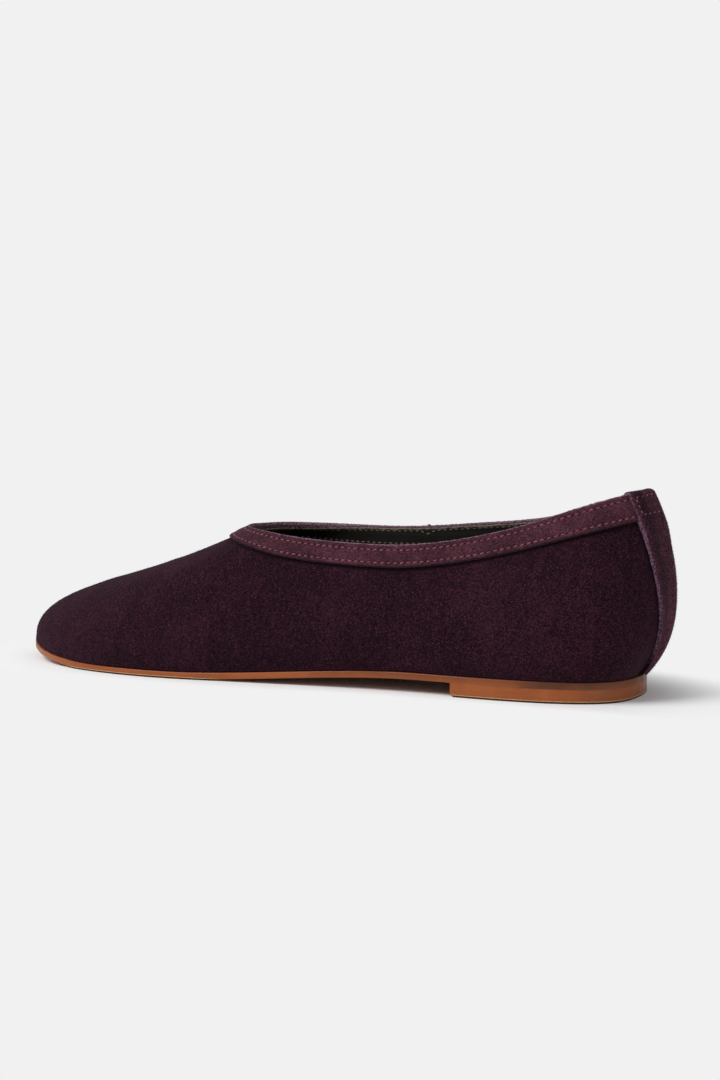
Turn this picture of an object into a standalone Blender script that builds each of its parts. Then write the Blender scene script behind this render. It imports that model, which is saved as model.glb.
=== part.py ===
"""Left shoe of a pair of suede ballet flats with a low heel.

Pieces: outsole, heel, insole, upper, a band round the topline and a strip down the back.
Metres. +X points to the toe, +Y to the outer side of the foot, +Z up, and z = 0 is the floor.
The origin is on the floor under the middle of the heel.
"""
import bmesh
import bpy
import numpy as np

MM = 0.001

# Sole and heel.
SOLE_LENGTH = 240 * MM
BALL_WIDTH = 74 * MM
WAIST_WIDTH = 52 * MM
HEEL_WIDTH = 53.5 * MM
SOLE_THICKNESS = 2.2 * MM
SOLE_MARGIN = 0.5 * MM          # sole edge outside the foot of the upper
HEEL_HEIGHT = 4.1 * MM          # heel block alone
HEEL_LENGTH = 53.5 * MM         # rear of the sole to the breast of the heel
HEEL_CENTRE = 27 * MM           # rear of the sole to the origin
BREAST_ROUND = 1.4 * MM
ARCH_SETBACK = 12 * MM          # flat stretch of sole in front of the breast
BALL_START = 158 * MM           # rear of the sole to where the forefoot meets the floor
TREAD_LENGTH = 26 * MM          # flat stretch under the ball
TOE_SPRING = 5 * MM

# Upper.
BACK_HEIGHT = 65.5 * MM         # floor to the topline at the back
SIDE_HEIGHT = 49 * MM           # floor to the topline at the waist
THROAT_HEIGHT = 51.5 * MM       # floor to the front of the throat
THROAT_REACH = 141 * MM         # rear of the sole to the front of the throat
COLLAR_WIDTH = 47.5 * MM        # topline across its widest place
HEEL_BULGE = 11 * MM            # swell of the back over the sole
WALL = 1.8 * MM
BAND_WIDTH = 7.8 * MM
BAND_BACK_WIDTH = 9.2 * MM      # the band where it meets the back strip
BAND_THICKNESS = 0.9 * MM
STRIP_TOP_WIDTH = 17.2 * MM     # back strip at the topline, measured as u along the foot
STRIP_FOOT_WIDTH = 7.4 * MM     # back strip at the sole
STRIP_THICKNESS = 0.8 * MM
STRIP_RIDGE = 0.5 * MM          # extra height along the middle of the back strip
INSOLE_THICKNESS = 3 * MM
INSOLE_GAP = 0.45 * MM          # between the insole's edge and the wall
CLEARANCE = 0.3 * MM            # between pieces that meet

# Facets.
FACET_LENGTH = 6 * MM
WALL_ROWS = 9
BAND_ROWS = 2
STRIP_COLUMNS = 7
ROUND_SEGMENTS = 3
SHARP_ANGLE = 0.7               # radians; flatter edges are shaded smooth

# Steps for reading the curved surface.
PLAN_STEP = 0.5 * MM
SURFACE_STEP = 0.2 * MM
SHARE_STEP = 0.001
BAND_SAMPLES = 81
TOUCH = 0.01 * MM

VAMP_LENGTH = SOLE_LENGTH - THROAT_REACH

# The last, a row for each section from the back to the toe.
# Foot: the edge where the upper meets the sole.
# section, place from the rear, reach to the outer side, reach to the inner side
FOOT = (
    ("back", 0.000 * SOLE_LENGTH, 0.00 * HEEL_WIDTH, 0.00 * HEEL_WIDTH),
    ("corner", 0.015 * SOLE_LENGTH, 0.31 * HEEL_WIDTH, 0.31 * HEEL_WIDTH),
    ("heel", 0.120 * SOLE_LENGTH, 0.52 * HEEL_WIDTH, 0.51 * HEEL_WIDTH),
    ("breast", 0.280 * SOLE_LENGTH, 0.53 * HEEL_WIDTH, 0.47 * HEEL_WIDTH),
    ("waist", 0.430 * SOLE_LENGTH, 0.59 * WAIST_WIDTH, 0.41 * WAIST_WIDTH),
    ("joint", 0.570 * SOLE_LENGTH, 0.47 * BALL_WIDTH, 0.37 * BALL_WIDTH),
    ("ball", 0.700 * SOLE_LENGTH, 0.51 * BALL_WIDTH, 0.49 * BALL_WIDTH),
    ("vamp", 0.830 * SOLE_LENGTH, 0.45 * BALL_WIDTH, 0.49 * BALL_WIDTH),
    ("tip", 0.940 * SOLE_LENGTH, 0.27 * BALL_WIDTH, 0.33 * BALL_WIDTH),
    ("toe", 1.000 * SOLE_LENGTH, -0.05 * BALL_WIDTH, 0.05 * BALL_WIDTH),
)
# Topline: the edge that the foot goes through.
# section, place from the rear, reach to the outer side, to the inner side, outer height, inner height
TOPLINE = (
    ("back", -0.010 * THROAT_REACH, 0.00 * COLLAR_WIDTH, 0.00 * COLLAR_WIDTH,
     1.00 * BACK_HEIGHT, 1.00 * BACK_HEIGHT),
    ("corner", 0.06 * THROAT_REACH, 0.31 * COLLAR_WIDTH, 0.31 * COLLAR_WIDTH,
     0.95 * BACK_HEIGHT, 0.97 * BACK_HEIGHT),
    ("heel", 0.21 * THROAT_REACH, 0.40 * COLLAR_WIDTH, 0.39 * COLLAR_WIDTH,
     0.84 * BACK_HEIGHT, 0.87 * BACK_HEIGHT),
    ("breast", 0.45 * THROAT_REACH, 0.44 * COLLAR_WIDTH, 0.45 * COLLAR_WIDTH,
     0.98 * SIDE_HEIGHT, 1.08 * SIDE_HEIGHT),
    ("waist", 0.64 * THROAT_REACH, 0.49 * COLLAR_WIDTH, 0.48 * COLLAR_WIDTH,
     0.97 * SIDE_HEIGHT, 1.045 * SIDE_HEIGHT),
    ("joint", 0.80 * THROAT_REACH, 0.50 * COLLAR_WIDTH, 0.49 * COLLAR_WIDTH,
     1.00 * SIDE_HEIGHT, 1.045 * SIDE_HEIGHT),
    ("ball", 0.91 * THROAT_REACH, 0.43 * COLLAR_WIDTH, 0.44 * COLLAR_WIDTH,
     1.03 * SIDE_HEIGHT, 1.045 * SIDE_HEIGHT),
    ("vamp", 0.97 * THROAT_REACH, 0.27 * COLLAR_WIDTH, 0.29 * COLLAR_WIDTH,
     0.99 * THROAT_HEIGHT, 1.00 * THROAT_HEIGHT),
    ("tip", 0.994 * THROAT_REACH, 0.12 * COLLAR_WIDTH, 0.14 * COLLAR_WIDTH,
     1.00 * THROAT_HEIGHT, 1.00 * THROAT_HEIGHT),
    ("toe", 1.00 * THROAT_REACH, -0.02 * COLLAR_WIDTH, 0.02 * COLLAR_WIDTH,
     1.00 * THROAT_HEIGHT, 1.00 * THROAT_HEIGHT),
)
# Fullness: the handles that bend the wall between its foot and the topline.
# section, out and up from the foot, out and down from the topline
FULLNESS = (
    ("back", 1.13 * HEEL_BULGE, 0.26 * SIDE_HEIGHT, 1.06 * HEEL_BULGE, 0.48 * SIDE_HEIGHT),
    ("corner", 1.06 * HEEL_BULGE, 0.21 * SIDE_HEIGHT, 0.88 * HEEL_BULGE, 0.49 * SIDE_HEIGHT),
    ("heel", 0.72 * HEEL_BULGE, 0.24 * SIDE_HEIGHT, 0.80 * HEEL_BULGE, 0.40 * SIDE_HEIGHT),
    ("breast", 0.65 * HEEL_BULGE, 0.25 * SIDE_HEIGHT, 0.57 * HEEL_BULGE, 0.36 * SIDE_HEIGHT),
    ("waist", 0.70 * HEEL_BULGE, 0.30 * SIDE_HEIGHT, 0.36 * HEEL_BULGE, 0.27 * SIDE_HEIGHT),
    ("joint", 0.09 * BALL_WIDTH, 0.32 * SIDE_HEIGHT, 0.05 * VAMP_LENGTH, 0.22 * SIDE_HEIGHT),
    ("ball", 0.07 * BALL_WIDTH, 0.36 * THROAT_HEIGHT, 0.13 * VAMP_LENGTH, 0.18 * THROAT_HEIGHT),
    ("vamp", 0.06 * BALL_WIDTH, 0.38 * THROAT_HEIGHT, 0.22 * VAMP_LENGTH, 0.22 * THROAT_HEIGHT),
    ("tip", 0.05 * BALL_WIDTH, 0.40 * THROAT_HEIGHT, 0.31 * VAMP_LENGTH, 0.32 * THROAT_HEIGHT),
    ("toe", 0.04 * BALL_WIDTH, 0.42 * THROAT_HEIGHT, 0.35 * VAMP_LENGTH, 0.38 * THROAT_HEIGHT),
)

# Finishes: colour, roughness.
SUEDE = ((0.033, 0.011, 0.017), 0.95)
BAND_SUEDE = ((0.040, 0.014, 0.021), 0.95)
STRIP_SUEDE = ((0.052, 0.019, 0.027), 0.95)
SOLE_LEATHER = ((0.305, 0.091, 0.032), 0.45)
HEEL_LEATHER = ((0.290, 0.085, 0.030), 0.45)
LINING_LEATHER = ((0.020, 0.015, 0.011), 0.7)


def ease(x):
    """Smooth step from 0 to 1."""
    x = np.clip(x, 0, 1)
    return x * x * (3 - 2 * x)


def sole_bottom(x):
    """Height of the outsole's underside: over the heel, down the arch, flat, and up to the toe."""
    rear = x + HEEL_CENTRE
    arch_start = HEEL_LENGTH + ARCH_SETBACK
    fall = ease((rear - arch_start) / (BALL_START - arch_start))
    spring_start = BALL_START + TREAD_LENGTH
    rise = np.clip((rear - spring_start) / (SOLE_LENGTH - spring_start), 0, None)
    return (HEEL_HEIGHT + CLEARANCE) * (1 - fall) + TOE_SPRING * rise**2


def seat(x):
    """Height of the outsole's top."""
    return sole_bottom(x) + SOLE_THICKNESS


def periodic_spline(knots, values, at):
    """Closed cubic spline through the rows of values."""
    count = len(values)
    gaps = np.diff(knots)
    matrix = np.zeros((count, count))
    right = np.zeros_like(values)
    for i in range(count):
        before, after = (i - 1) % count, (i + 1) % count
        matrix[i, before] += gaps[before]
        matrix[i, i] += 2 * (gaps[before] + gaps[i])
        matrix[i, after] += gaps[i]
        right[i] = 6 * ((values[after] - values[i]) / gaps[i]
                        - (values[i] - values[before]) / gaps[before])
    bend = np.linalg.solve(matrix, right)
    at = np.mod(at, knots[-1])
    i = np.clip(np.searchsorted(knots, at, side="right") - 1, 0, count - 1)
    after = (i + 1) % count
    gap = gaps[i][:, None]
    a = (knots[i + 1] - at)[:, None] / gap
    b = 1 - a
    return (a * values[i] + b * values[after]
            + ((a**3 - a) * bend[i] + (b**3 - b) * bend[after]) * gap**2 / 6)


class Last:
    """The upper's outer face: u runs round the shoe from the back over the outer side,
    v from 0 at the foot to 1 at the topline."""

    def __init__(self):
        outer, inner = [], []
        for foot, top, full in zip(FOOT, TOPLINE, FULLNESS):
            outer.append((foot[1] - HEEL_CENTRE, foot[2], top[1] - HEEL_CENTRE, top[2], top[4]) + full[1:])
            inner.append((foot[1] - HEEL_CENTRE, -foot[3], top[1] - HEEL_CENTRE, -top[3], top[5]) + full[1:])
        self.rows = np.array(outer + inner[-2:0:-1])
        steps = np.linalg.norm(np.roll(self.rows[:, :2], -1, axis=0) - self.rows[:, :2], axis=1)
        self.knots = np.concatenate([[0], np.cumsum(steps)])
        self.sections = len(FOOT)

    def read(self, u):
        return periodic_spline(self.knots, self.rows, np.asarray(u, dtype=float))

    def outward(self, u, columns):
        """Unit normals, pointing out, of the foot's or the topline's plan."""
        run = self.read(u + PLAN_STEP)[:, columns] - self.read(u - PLAN_STEP)[:, columns]
        normal = np.stack([-run[:, 1], run[:, 0]], axis=1)
        return normal / np.linalg.norm(normal, axis=1)[:, None]

    def foot_edge(self, u, margin):
        """Plan of the foot, moved out by margin."""
        return self.read(u)[:, :2] + self.outward(u, slice(0, 2)) * margin

    def surface(self, u, v):
        """Points at v, a row of values for each station, and u, one for each station or point."""
        shape = v.shape
        u = np.broadcast_to(u if u.ndim == 2 else u[:, None], shape).ravel()
        v = v.reshape(-1, 1)
        row = self.read(u)
        foot_normal = self.outward(u, slice(0, 2))
        top_normal = self.outward(u, slice(2, 4))
        foot = np.column_stack([row[:, :2], seat(row[:, 0]) + CLEARANCE])
        top = row[:, 2:5]
        low = foot + np.column_stack([foot_normal * row[:, 5:6], row[:, 6]])
        high = top + np.column_stack([top_normal * row[:, 7:8], -row[:, 8]])
        w = 1 - v
        points = w**3 * foot + 3 * w * w * v * low + 3 * w * v * v * high + v**3 * top
        return points.reshape(*shape, 3)

    def shell(self, u, v, lift):
        """The surface moved out along its normals by lift."""
        along = self.surface(u + SURFACE_STEP, v) - self.surface(u - SURFACE_STEP, v)
        up = self.surface(u, v + SHARE_STEP) - self.surface(u, v - SHARE_STEP)
        normal = np.cross(up, along)
        normal /= np.linalg.norm(normal, axis=2)[:, :, None]
        return self.surface(u, v) + normal * lift

    def side(self, outer):
        """Stations from the back to the toe down one side. Both sides have as many."""
        stations = []
        for i in range(self.sections - 1):
            length = self.knots[i + 1] - self.knots[i]
            count = max(2, round(length / FACET_LENGTH))
            stations += list(self.knots[i] + np.linspace(0, length, count, endpoint=False))
        stations.append(self.knots[self.sections - 1])
        if outer:
            return np.array(stations)
        return np.interp(stations, self.knots[:self.sections], self.knots[::-1][:self.sections])

    def ring(self):
        """Stations all round the shoe."""
        outer, inner = self.side(True), self.side(False)
        return np.concatenate([outer, inner[-2:0:-1]])

    def band_foot(self, u):
        """The v of each station where the topline band ends, its width down from the topline."""
        from_back = np.minimum(u, self.knots[-1] - u) / self.knots[3]
        width = BAND_WIDTH + (BAND_BACK_WIDTH - BAND_WIDTH) * (1 - ease(from_back))
        v = np.tile(np.linspace(1, 0, BAND_SAMPLES), (len(u), 1))
        points = self.surface(u, v)
        walked = np.cumsum(np.linalg.norm(np.diff(points, axis=1), axis=2), axis=1)
        return np.array([np.interp(*near) for near in zip(width, walked, v[:, 1:])])

    def wall_rows(self, u):
        """The v of each row of facets, from the foot to the band and on to the topline."""
        foot = self.band_foot(u)[:, None]
        below = foot * np.linspace(0, 1, WALL_ROWS + 1)[None, :]
        beside = foot + (1 - foot) * np.linspace(0, 1, BAND_ROWS + 1)[None, 1:]
        return np.hstack([below, beside])


def finish(name, mesh, look):
    """Material, smooth shading and object of one piece."""
    (red, green, blue), roughness = look
    mesh.normal_update()
    bmesh.ops.recalc_face_normals(mesh, faces=mesh.faces)
    data = bpy.data.meshes.new(name)
    mesh.to_mesh(data)
    mesh.free()
    data.shade_smooth()
    data.set_sharp_from_angle(angle=SHARP_ANGLE)
    material = bpy.data.materials.new(name)
    material.use_nodes = True
    shader = material.node_tree.nodes["Principled BSDF"]
    shader.inputs["Base Color"].default_value = (red, green, blue, 1)
    shader.inputs["Roughness"].default_value = roughness
    data.materials.append(material)
    piece = bpy.data.objects.new(name, data)
    bpy.context.collection.objects.link(piece)
    return piece


def wall_solid(name, outer, inner, look, closed):
    """A solid between two grids of points. A closed one runs right round the shoe."""
    mesh = bmesh.new()
    columns, rows = outer.shape[:2]
    out = [[mesh.verts.new(point) for point in column] for column in outer]
    back = [[mesh.verts.new(point) for point in column] for column in inner]
    spans = [(i, (i + 1) % columns) for i in range(columns if closed else columns - 1)]
    for i, j in spans:
        for k in range(rows - 1):
            mesh.faces.new((out[i][k], out[j][k], out[j][k + 1], out[i][k + 1]))
            mesh.faces.new((back[j][k], back[i][k], back[i][k + 1], back[j][k + 1]))
        mesh.faces.new((out[j][0], out[i][0], back[i][0], back[j][0]))
        mesh.faces.new((out[i][-1], out[j][-1], back[j][-1], back[i][-1]))
    if not closed:
        for k in range(rows - 1):
            mesh.faces.new((out[0][k], out[0][k + 1], back[0][k + 1], back[0][k]))
            mesh.faces.new((out[-1][k + 1], out[-1][k], back[-1][k], back[-1][k + 1]))
    return finish(name, mesh, look)


def plate_solid(name, outer, inner, look):
    """A plate from two grids, one for each side, that share their first and last column.
    Each column holds the bottom and the top of the plate's edge."""
    mesh = bmesh.new()
    left = [[mesh.verts.new(point) for point in column] for column in outer]
    right = [left[0]] + [[mesh.verts.new(point) for point in column] for column in inner[1:-1]] + [left[-1]]
    count = len(left)
    for i in range(count - 1):
        for level in (0, -1):
            corners = [left[i][level], left[i + 1][level], right[i + 1][level], right[i][level]]
            mesh.faces.new(list(dict.fromkeys(corners)))
        for edge in (left, right):
            mesh.faces.new((edge[i][0], edge[i + 1][0], edge[i + 1][-1], edge[i][-1]))
    return finish(name, mesh, look)


def make_outsole(last):
    def edge(u):
        plan = last.foot_edge(u, SOLE_MARGIN)
        bottom = sole_bottom(plan[:, 0])
        low = np.column_stack([plan, bottom])
        return np.stack([low, low + [0, 0, SOLE_THICKNESS]], axis=1)

    return plate_solid("outsole", edge(last.side(True)), edge(last.side(False)), SOLE_LEATHER)


def make_heel(last):
    """Block under the rear of the sole, with the sole's outline and a straight breast."""
    breast = HEEL_LENGTH - HEEL_CENTRE
    outline = []
    for outer in (True, False):
        plan = last.foot_edge(last.side(outer), SOLE_MARGIN)
        rear = plan[plan[:, 0] < breast - BREAST_ROUND]
        crossing = np.interp(breast, plan[:, 0], plan[:, 1])
        outline.append(np.vstack([rear, [breast, crossing]]))
    ring = np.vstack([outline[0], outline[1][:0:-1]])
    mesh = bmesh.new()
    base = mesh.faces.new([mesh.verts.new((x, y, 0)) for x, y in ring])
    top = bmesh.ops.extrude_face_region(mesh, geom=[base])
    raised = [item for item in top["geom"] if isinstance(item, bmesh.types.BMVert)]
    bmesh.ops.translate(mesh, verts=raised, vec=(0, 0, HEEL_HEIGHT))
    lip = [edge for edge in mesh.edges if all(vert.co.x > breast - TOUCH and vert.co.z < TOUCH
                                              for vert in edge.verts)]
    bmesh.ops.bevel(mesh, geom=lip, offset=BREAST_ROUND, segments=ROUND_SEGMENTS, profile=0.5,
                    affect="EDGES")
    return finish("heel", mesh, HEEL_LEATHER)


def set_on_seat(points):
    """Slide the foot of each column along the wall until it stands just over the outsole."""
    first, second = points[:, 0], points[:, 1]
    floor = seat(first[:, 0]) + CLEARANCE
    share = (floor - first[:, 2]) / (second[:, 2] - first[:, 2])
    points[:, 0] = first + (second - first) * share[:, None]
    return points


def make_upper(last):
    u = last.ring()
    v = last.wall_rows(u)
    inside = set_on_seat(last.shell(u, v, -WALL))
    return wall_solid("upper", last.surface(u, v), inside, SUEDE, closed=True)


def make_insole(last):
    """Plate inside the foot of the upper, whose edge leans with the wall."""
    def edge(u):
        v = last.wall_rows(u)
        inside = set_on_seat(last.shell(u, v, -WALL))
        inward = -np.column_stack([last.outward(u, slice(0, 2)), np.zeros(len(u))]) * INSOLE_GAP
        low = inside[:, 0] + inward
        height = inside[:, 0, 2] + INSOLE_THICKNESS
        high = np.array([[np.interp(level, wall[:, 2], wall[:, axis]) for axis in range(3)]
                         for level, wall in zip(height, inside[:, :WALL_ROWS])]) + inward
        for points, rise in ((low, CLEARANCE), (high, CLEARANCE + INSOLE_THICKNESS)):
            points[:, 2] = seat(points[:, 0]) + rise
        return np.stack([low, high], axis=1)

    return plate_solid("insole", edge(last.side(True)), edge(last.side(False)), LINING_LEATHER)


def half_strip(v):
    """Half the width of the back strip, which narrows towards the sole."""
    return (STRIP_FOOT_WIDTH + (STRIP_TOP_WIDTH - STRIP_FOOT_WIDTH) * v) / 2


def make_topline_band(last):
    """Facing strip all round the topline, from one edge of the back strip to the other."""
    start = STRIP_TOP_WIDTH / 2 + CLEARANCE
    end = last.knots[-1] - start
    ring = last.ring()
    stations = np.concatenate([[start], ring[(ring > start) & (ring < end)], [end]])
    v = last.wall_rows(stations)[:, WALL_ROWS:]
    u = np.tile(stations[:, None], (1, BAND_ROWS + 1))
    u[0] = half_strip(v[0]) + CLEARANCE
    u[-1] = last.knots[-1] - u[0]
    low = last.shell(u, v, CLEARANCE)
    high = last.shell(u, v, CLEARANCE + BAND_THICKNESS)
    return wall_solid("topline_band", high, low, BAND_SUEDE, closed=False)


def make_back_strip(last):
    """Strip over the back seam, from the sole to the topline, with a soft ridge."""
    share = np.linspace(-1, 1, STRIP_COLUMNS)
    v = np.tile(last.wall_rows(np.zeros(1)), (STRIP_COLUMNS, 1))
    u = share[:, None] * half_strip(v)
    ridge = STRIP_RIDGE * (1 - np.abs(share))
    low = set_on_seat(last.shell(u, v, CLEARANCE))
    high = set_on_seat(last.shell(u, v, CLEARANCE + STRIP_THICKNESS + ridge[:, None, None]))
    return wall_solid("back_strip", high, low, STRIP_SUEDE, closed=False)


for leftover in list(bpy.data.objects):
    bpy.data.objects.remove(leftover)
LAST = Last()
make_outsole(LAST)
make_heel(LAST)
make_upper(LAST)
make_insole(LAST)
make_topline_band(LAST)
make_back_strip(LAST)
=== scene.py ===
"""Looks of a suede ballet flat, the left shoe.

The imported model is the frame. The tables of the last are repeated here, so that the suede, the
lining, the band, the strip and the stitches all follow the same surface as the solids.
Metres. +X points to the toe, +Y to the outer side of the foot, +Z up, and z = 0 is the floor.
"""
import math

import bpy
import numpy as np
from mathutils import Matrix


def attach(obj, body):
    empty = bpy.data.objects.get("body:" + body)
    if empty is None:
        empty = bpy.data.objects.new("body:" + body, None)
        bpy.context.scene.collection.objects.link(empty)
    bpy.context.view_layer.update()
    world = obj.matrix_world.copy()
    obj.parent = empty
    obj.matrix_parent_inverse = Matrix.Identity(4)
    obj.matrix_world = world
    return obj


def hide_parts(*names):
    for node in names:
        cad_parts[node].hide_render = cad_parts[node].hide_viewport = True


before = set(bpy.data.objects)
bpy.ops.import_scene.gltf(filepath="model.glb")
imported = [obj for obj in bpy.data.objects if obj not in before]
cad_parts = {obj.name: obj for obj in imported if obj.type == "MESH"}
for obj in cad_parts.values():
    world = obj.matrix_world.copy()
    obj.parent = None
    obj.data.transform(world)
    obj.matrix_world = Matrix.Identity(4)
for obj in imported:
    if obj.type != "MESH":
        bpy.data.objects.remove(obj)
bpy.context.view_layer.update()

MM = 0.001

# Sizes of the solids.
SOLE_LENGTH = 240 * MM
BALL_WIDTH = 74 * MM
WAIST_WIDTH = 52 * MM
HEEL_WIDTH = 53.5 * MM
SOLE_THICKNESS = 2.2 * MM
SOLE_MARGIN = 0.5 * MM
HEEL_HEIGHT = 4.1 * MM
HEEL_LENGTH = 53.5 * MM
HEEL_CENTRE = 27 * MM
BREAST_ROUND = 1.4 * MM
ARCH_SETBACK = 12 * MM
BALL_START = 158 * MM
TREAD_LENGTH = 26 * MM
TOE_SPRING = 5 * MM
BACK_HEIGHT = 65.5 * MM
SIDE_HEIGHT = 49 * MM
THROAT_HEIGHT = 51.5 * MM
THROAT_REACH = 141 * MM
COLLAR_WIDTH = 47.5 * MM
HEEL_BULGE = 11 * MM
WALL = 1.8 * MM
BAND_WIDTH = 7.8 * MM
BAND_BACK_WIDTH = 9.2 * MM
BAND_THICKNESS = 0.9 * MM
STRIP_TOP_WIDTH = 17.2 * MM
STRIP_FOOT_WIDTH = 7.4 * MM
STRIP_THICKNESS = 0.8 * MM
STRIP_RIDGE = 0.5 * MM
INSOLE_THICKNESS = 3 * MM
INSOLE_GAP = 0.15 * MM          # closer to the lining than the solid stands
CLEARANCE = 0.3 * MM
VAMP_LENGTH = SOLE_LENGTH - THROAT_REACH
BREAST = HEEL_LENGTH - HEEL_CENTRE

# Layers of the upper.
SUEDE_LAYER = 1.1 * MM
LINING_DROP = 0.12 * MM         # the lining's edge under the suede's
EDGE_ROUND = 0.22 * MM          # corner of a cut edge
EDGE_DOME = 0.1 * MM
BAND_LIFT = CLEARANCE + BAND_THICKNESS
BAND_TRIM = 0.5 * MM            # room for the rounded lower edge of the band
STRIP_LIFT = CLEARANCE + STRIP_THICKNESS
TUCK = 1.2 * MM                 # how far the suede turns in over the sole

# Stitches, as length, width and height.
STITCH_PITCH = 2.3 * MM
STITCH_SIZE = (1.35 * MM, 0.5 * MM, 0.36 * MM)
SHORT_STITCH_SIZE = (1.1 * MM, 0.5 * MM, 0.36 * MM)
HOLE_SIZE = (0.62 * MM, 0.6 * MM, 0.14 * MM)
KNOT_SIZE = (1.3 * MM, 0.8 * MM, 0.8 * MM)
STITCH_SLANT = 0.16
STITCH_LIFT = 0.05 * MM
ROW_FROM_TOP = 1.85 * MM
ROW_FROM_FOOT = 1.55 * MM       # lower row, over the band's lower edge
LINING_ROW_RISE = 0.8 * MM      # how much nearer the topline the rows lie inside
ROW_SINK = 0.26 * MM            # the groove that a row of stitches pulls
ROW_GROOVE = 0.62 * MM
SEAM_PLACE = 56.4 * MM          # join of the lining on the inner side
SEAM_DIP = 1.15 * MM            # the row inside dips under the join
SEAM_REACH = 3.2 * MM

# Fold of the back strip over the topline.
FOLD_TOP = 0.15 * MM            # over the topline
FOLD_INSIDE = 0.65 * MM         # face of the strip from the lining
FOLD_LENGTH = 6.5 * MM          # down inside the shoe
STRIP_START = 0.028             # share of the wall under the strip's foot
STRIP_RAISE = 0.68 * MM         # where the strip lies on the ends of the band
STRIP_FLARE = 0.8 * MM          # how much further its corners reach over the band
STRIP_STIFF = 0.8 * MM          # how far its outer corner stands over the topline
STRIP_ROW_INSET = 1.5 * MM      # short rows down the strip, from its edges
STRIP_ROW_SINK = 0.17 * MM      # the rows lie deeper in the strip than on the band

# Where changes along the strip begin and how far they take, as shares of the wall's height.
RAISE_RANGE = (0.72, 0.14)
FLARE_RANGE = (0.78, 0.2)
STAND_RANGE = (0.84, 0.12)

# Painted shade on the upper, in lines along the band's foot and beside the strip.
SHADE_PLACE = 0.1 * MM
BAND_SHADE = 0.62 * MM
STRIP_SHADE = 0.6 * MM

# Relief of the faces.
BAND_PUFF = 0.16 * MM
RIDGE_WIDTH = 1.3 * MM
RIDGE_BASE = 0.1 * MM
HOLLOW_DEPTH = 0.26 * MM        # beside the strip's ridge
HOLLOW_PLACE = 0.5              # as shares of half the strip's width
HOLLOW_WIDTH = 0.24
LIP_HEIGHT = 0.16 * MM          # along the strip's edges
LIP_WIDTH = 0.5 * MM
SOLE_ROUND = 0.3 * MM           # upper corner of the outsole
TREAD_ROUND = 0.28 * MM         # lower corner, in front of the heel
HEEL_ROUND = 0.2 * MM
DISH = 0.7 * MM                 # how far the insole is hollowed

# Loose fibres along the edges, and the nap that lies on the faces.
FUZZ = {"Spacing": 0.12 * MM, "Thickness": 0.12 * MM, "Spread": 0.8}
NAP_LOOK = {"Lay": (-0.7, 0.0, -1.1), "Length": 0.62 * MM, "Thickness": 0.08 * MM, "Spread": 0.8}

# Waviness of the edges, as amount, wave length and seed.
WAVES = {
    "topline": (0.05 * MM, 5 * MM, 3),
    "foot": (0.06 * MM, 7 * MM, 5),
    "feather": (0.12 * MM, 4 * MM, 11),
    "lining": (0.1 * MM, 9 * MM, 8),
    "band_foot": (0.07 * MM, 2.2 * MM, 21),
    "band_top": (0.09 * MM, 1.5 * MM, 22),
    "strip_outer": (0.07 * MM, 2.6 * MM, 31),
    "strip_inner": (0.07 * MM, 2.6 * MM, 32),
}
FEATHER_LIMITS = (-0.1 * MM, 0.2 * MM)
STRIP_PATH = 90 * MM            # way over which the strip's waves repeat
STRIP_STEP = 0.65 * MM          # rough distance of its rows

# Fineness of the meshes. The stations and gaps are in mm from the strip's edge and the band's foot.
UPPER_STATIONS = (-2.4, -1.2, -0.5, 0.05, 0.3, 0.55, 0.85, 1.3, 2.0, 3.0)
UPPER_GAPS = (2.0, 1.3, 0.85, 0.55, 0.3, 0.1)
UNDER_STRIP = 3.6 * MM          # where the stations under the strip end, inside its edge
BESIDE_STRIP = 4.2 * MM         # where the even ones begin, outside it
FREE_BELOW = 3 * MM             # where the even rows end, under the band
TURN_ANGLES = (80, 50, 20)      # round the suede's foot
BEND_ANGLES = (12, 168)         # over the fold of the strip
SOLE_ANGLES = (0, 30, 60, 90)
SOLE_STATIONS = 170
INSOLE_STATIONS = 120
SHARP_ANGLE = 0.9
RING_STEP = 1.3 * MM
BAND_STEP = 0.9 * MM
WALL_STEPS = 46
CAP_STEPS = 14
BAND_ROWS = 22
STRIP_COLUMNS = 33
STRIP_ROWS = 90                 # up the back
BEND_ROWS = 14                  # over the topline
DROP_ROWS = 8                   # down inside
SHORT_RAIL_POINTS = 12
RAIL_POINTS = 900
EDGE_POINTS = 5                 # between the faces of a layer, over its cut edge
SLIGHT_ROUND = 0.01 * MM        # a corner that is as good as sharp

# The last, a row for each section from the back to the toe, in shares of the sizes it names.
# section, size of the widths, place from the rear, reach to the outer side, to the inner side
FOOT = (
    ("back", HEEL_WIDTH, 0.000, 0.00, 0.00),
    ("corner", HEEL_WIDTH, 0.015, 0.31, 0.31),
    ("heel", HEEL_WIDTH, 0.120, 0.52, 0.51),
    ("breast", HEEL_WIDTH, 0.280, 0.53, 0.47),
    ("waist", WAIST_WIDTH, 0.430, 0.59, 0.41),
    ("joint", BALL_WIDTH, 0.570, 0.47, 0.37),
    ("ball", BALL_WIDTH, 0.700, 0.51, 0.49),
    ("vamp", BALL_WIDTH, 0.830, 0.45, 0.49),
    ("tip", BALL_WIDTH, 0.940, 0.27, 0.33),
    ("toe", BALL_WIDTH, 1.000, -0.05, 0.05),
)
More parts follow.
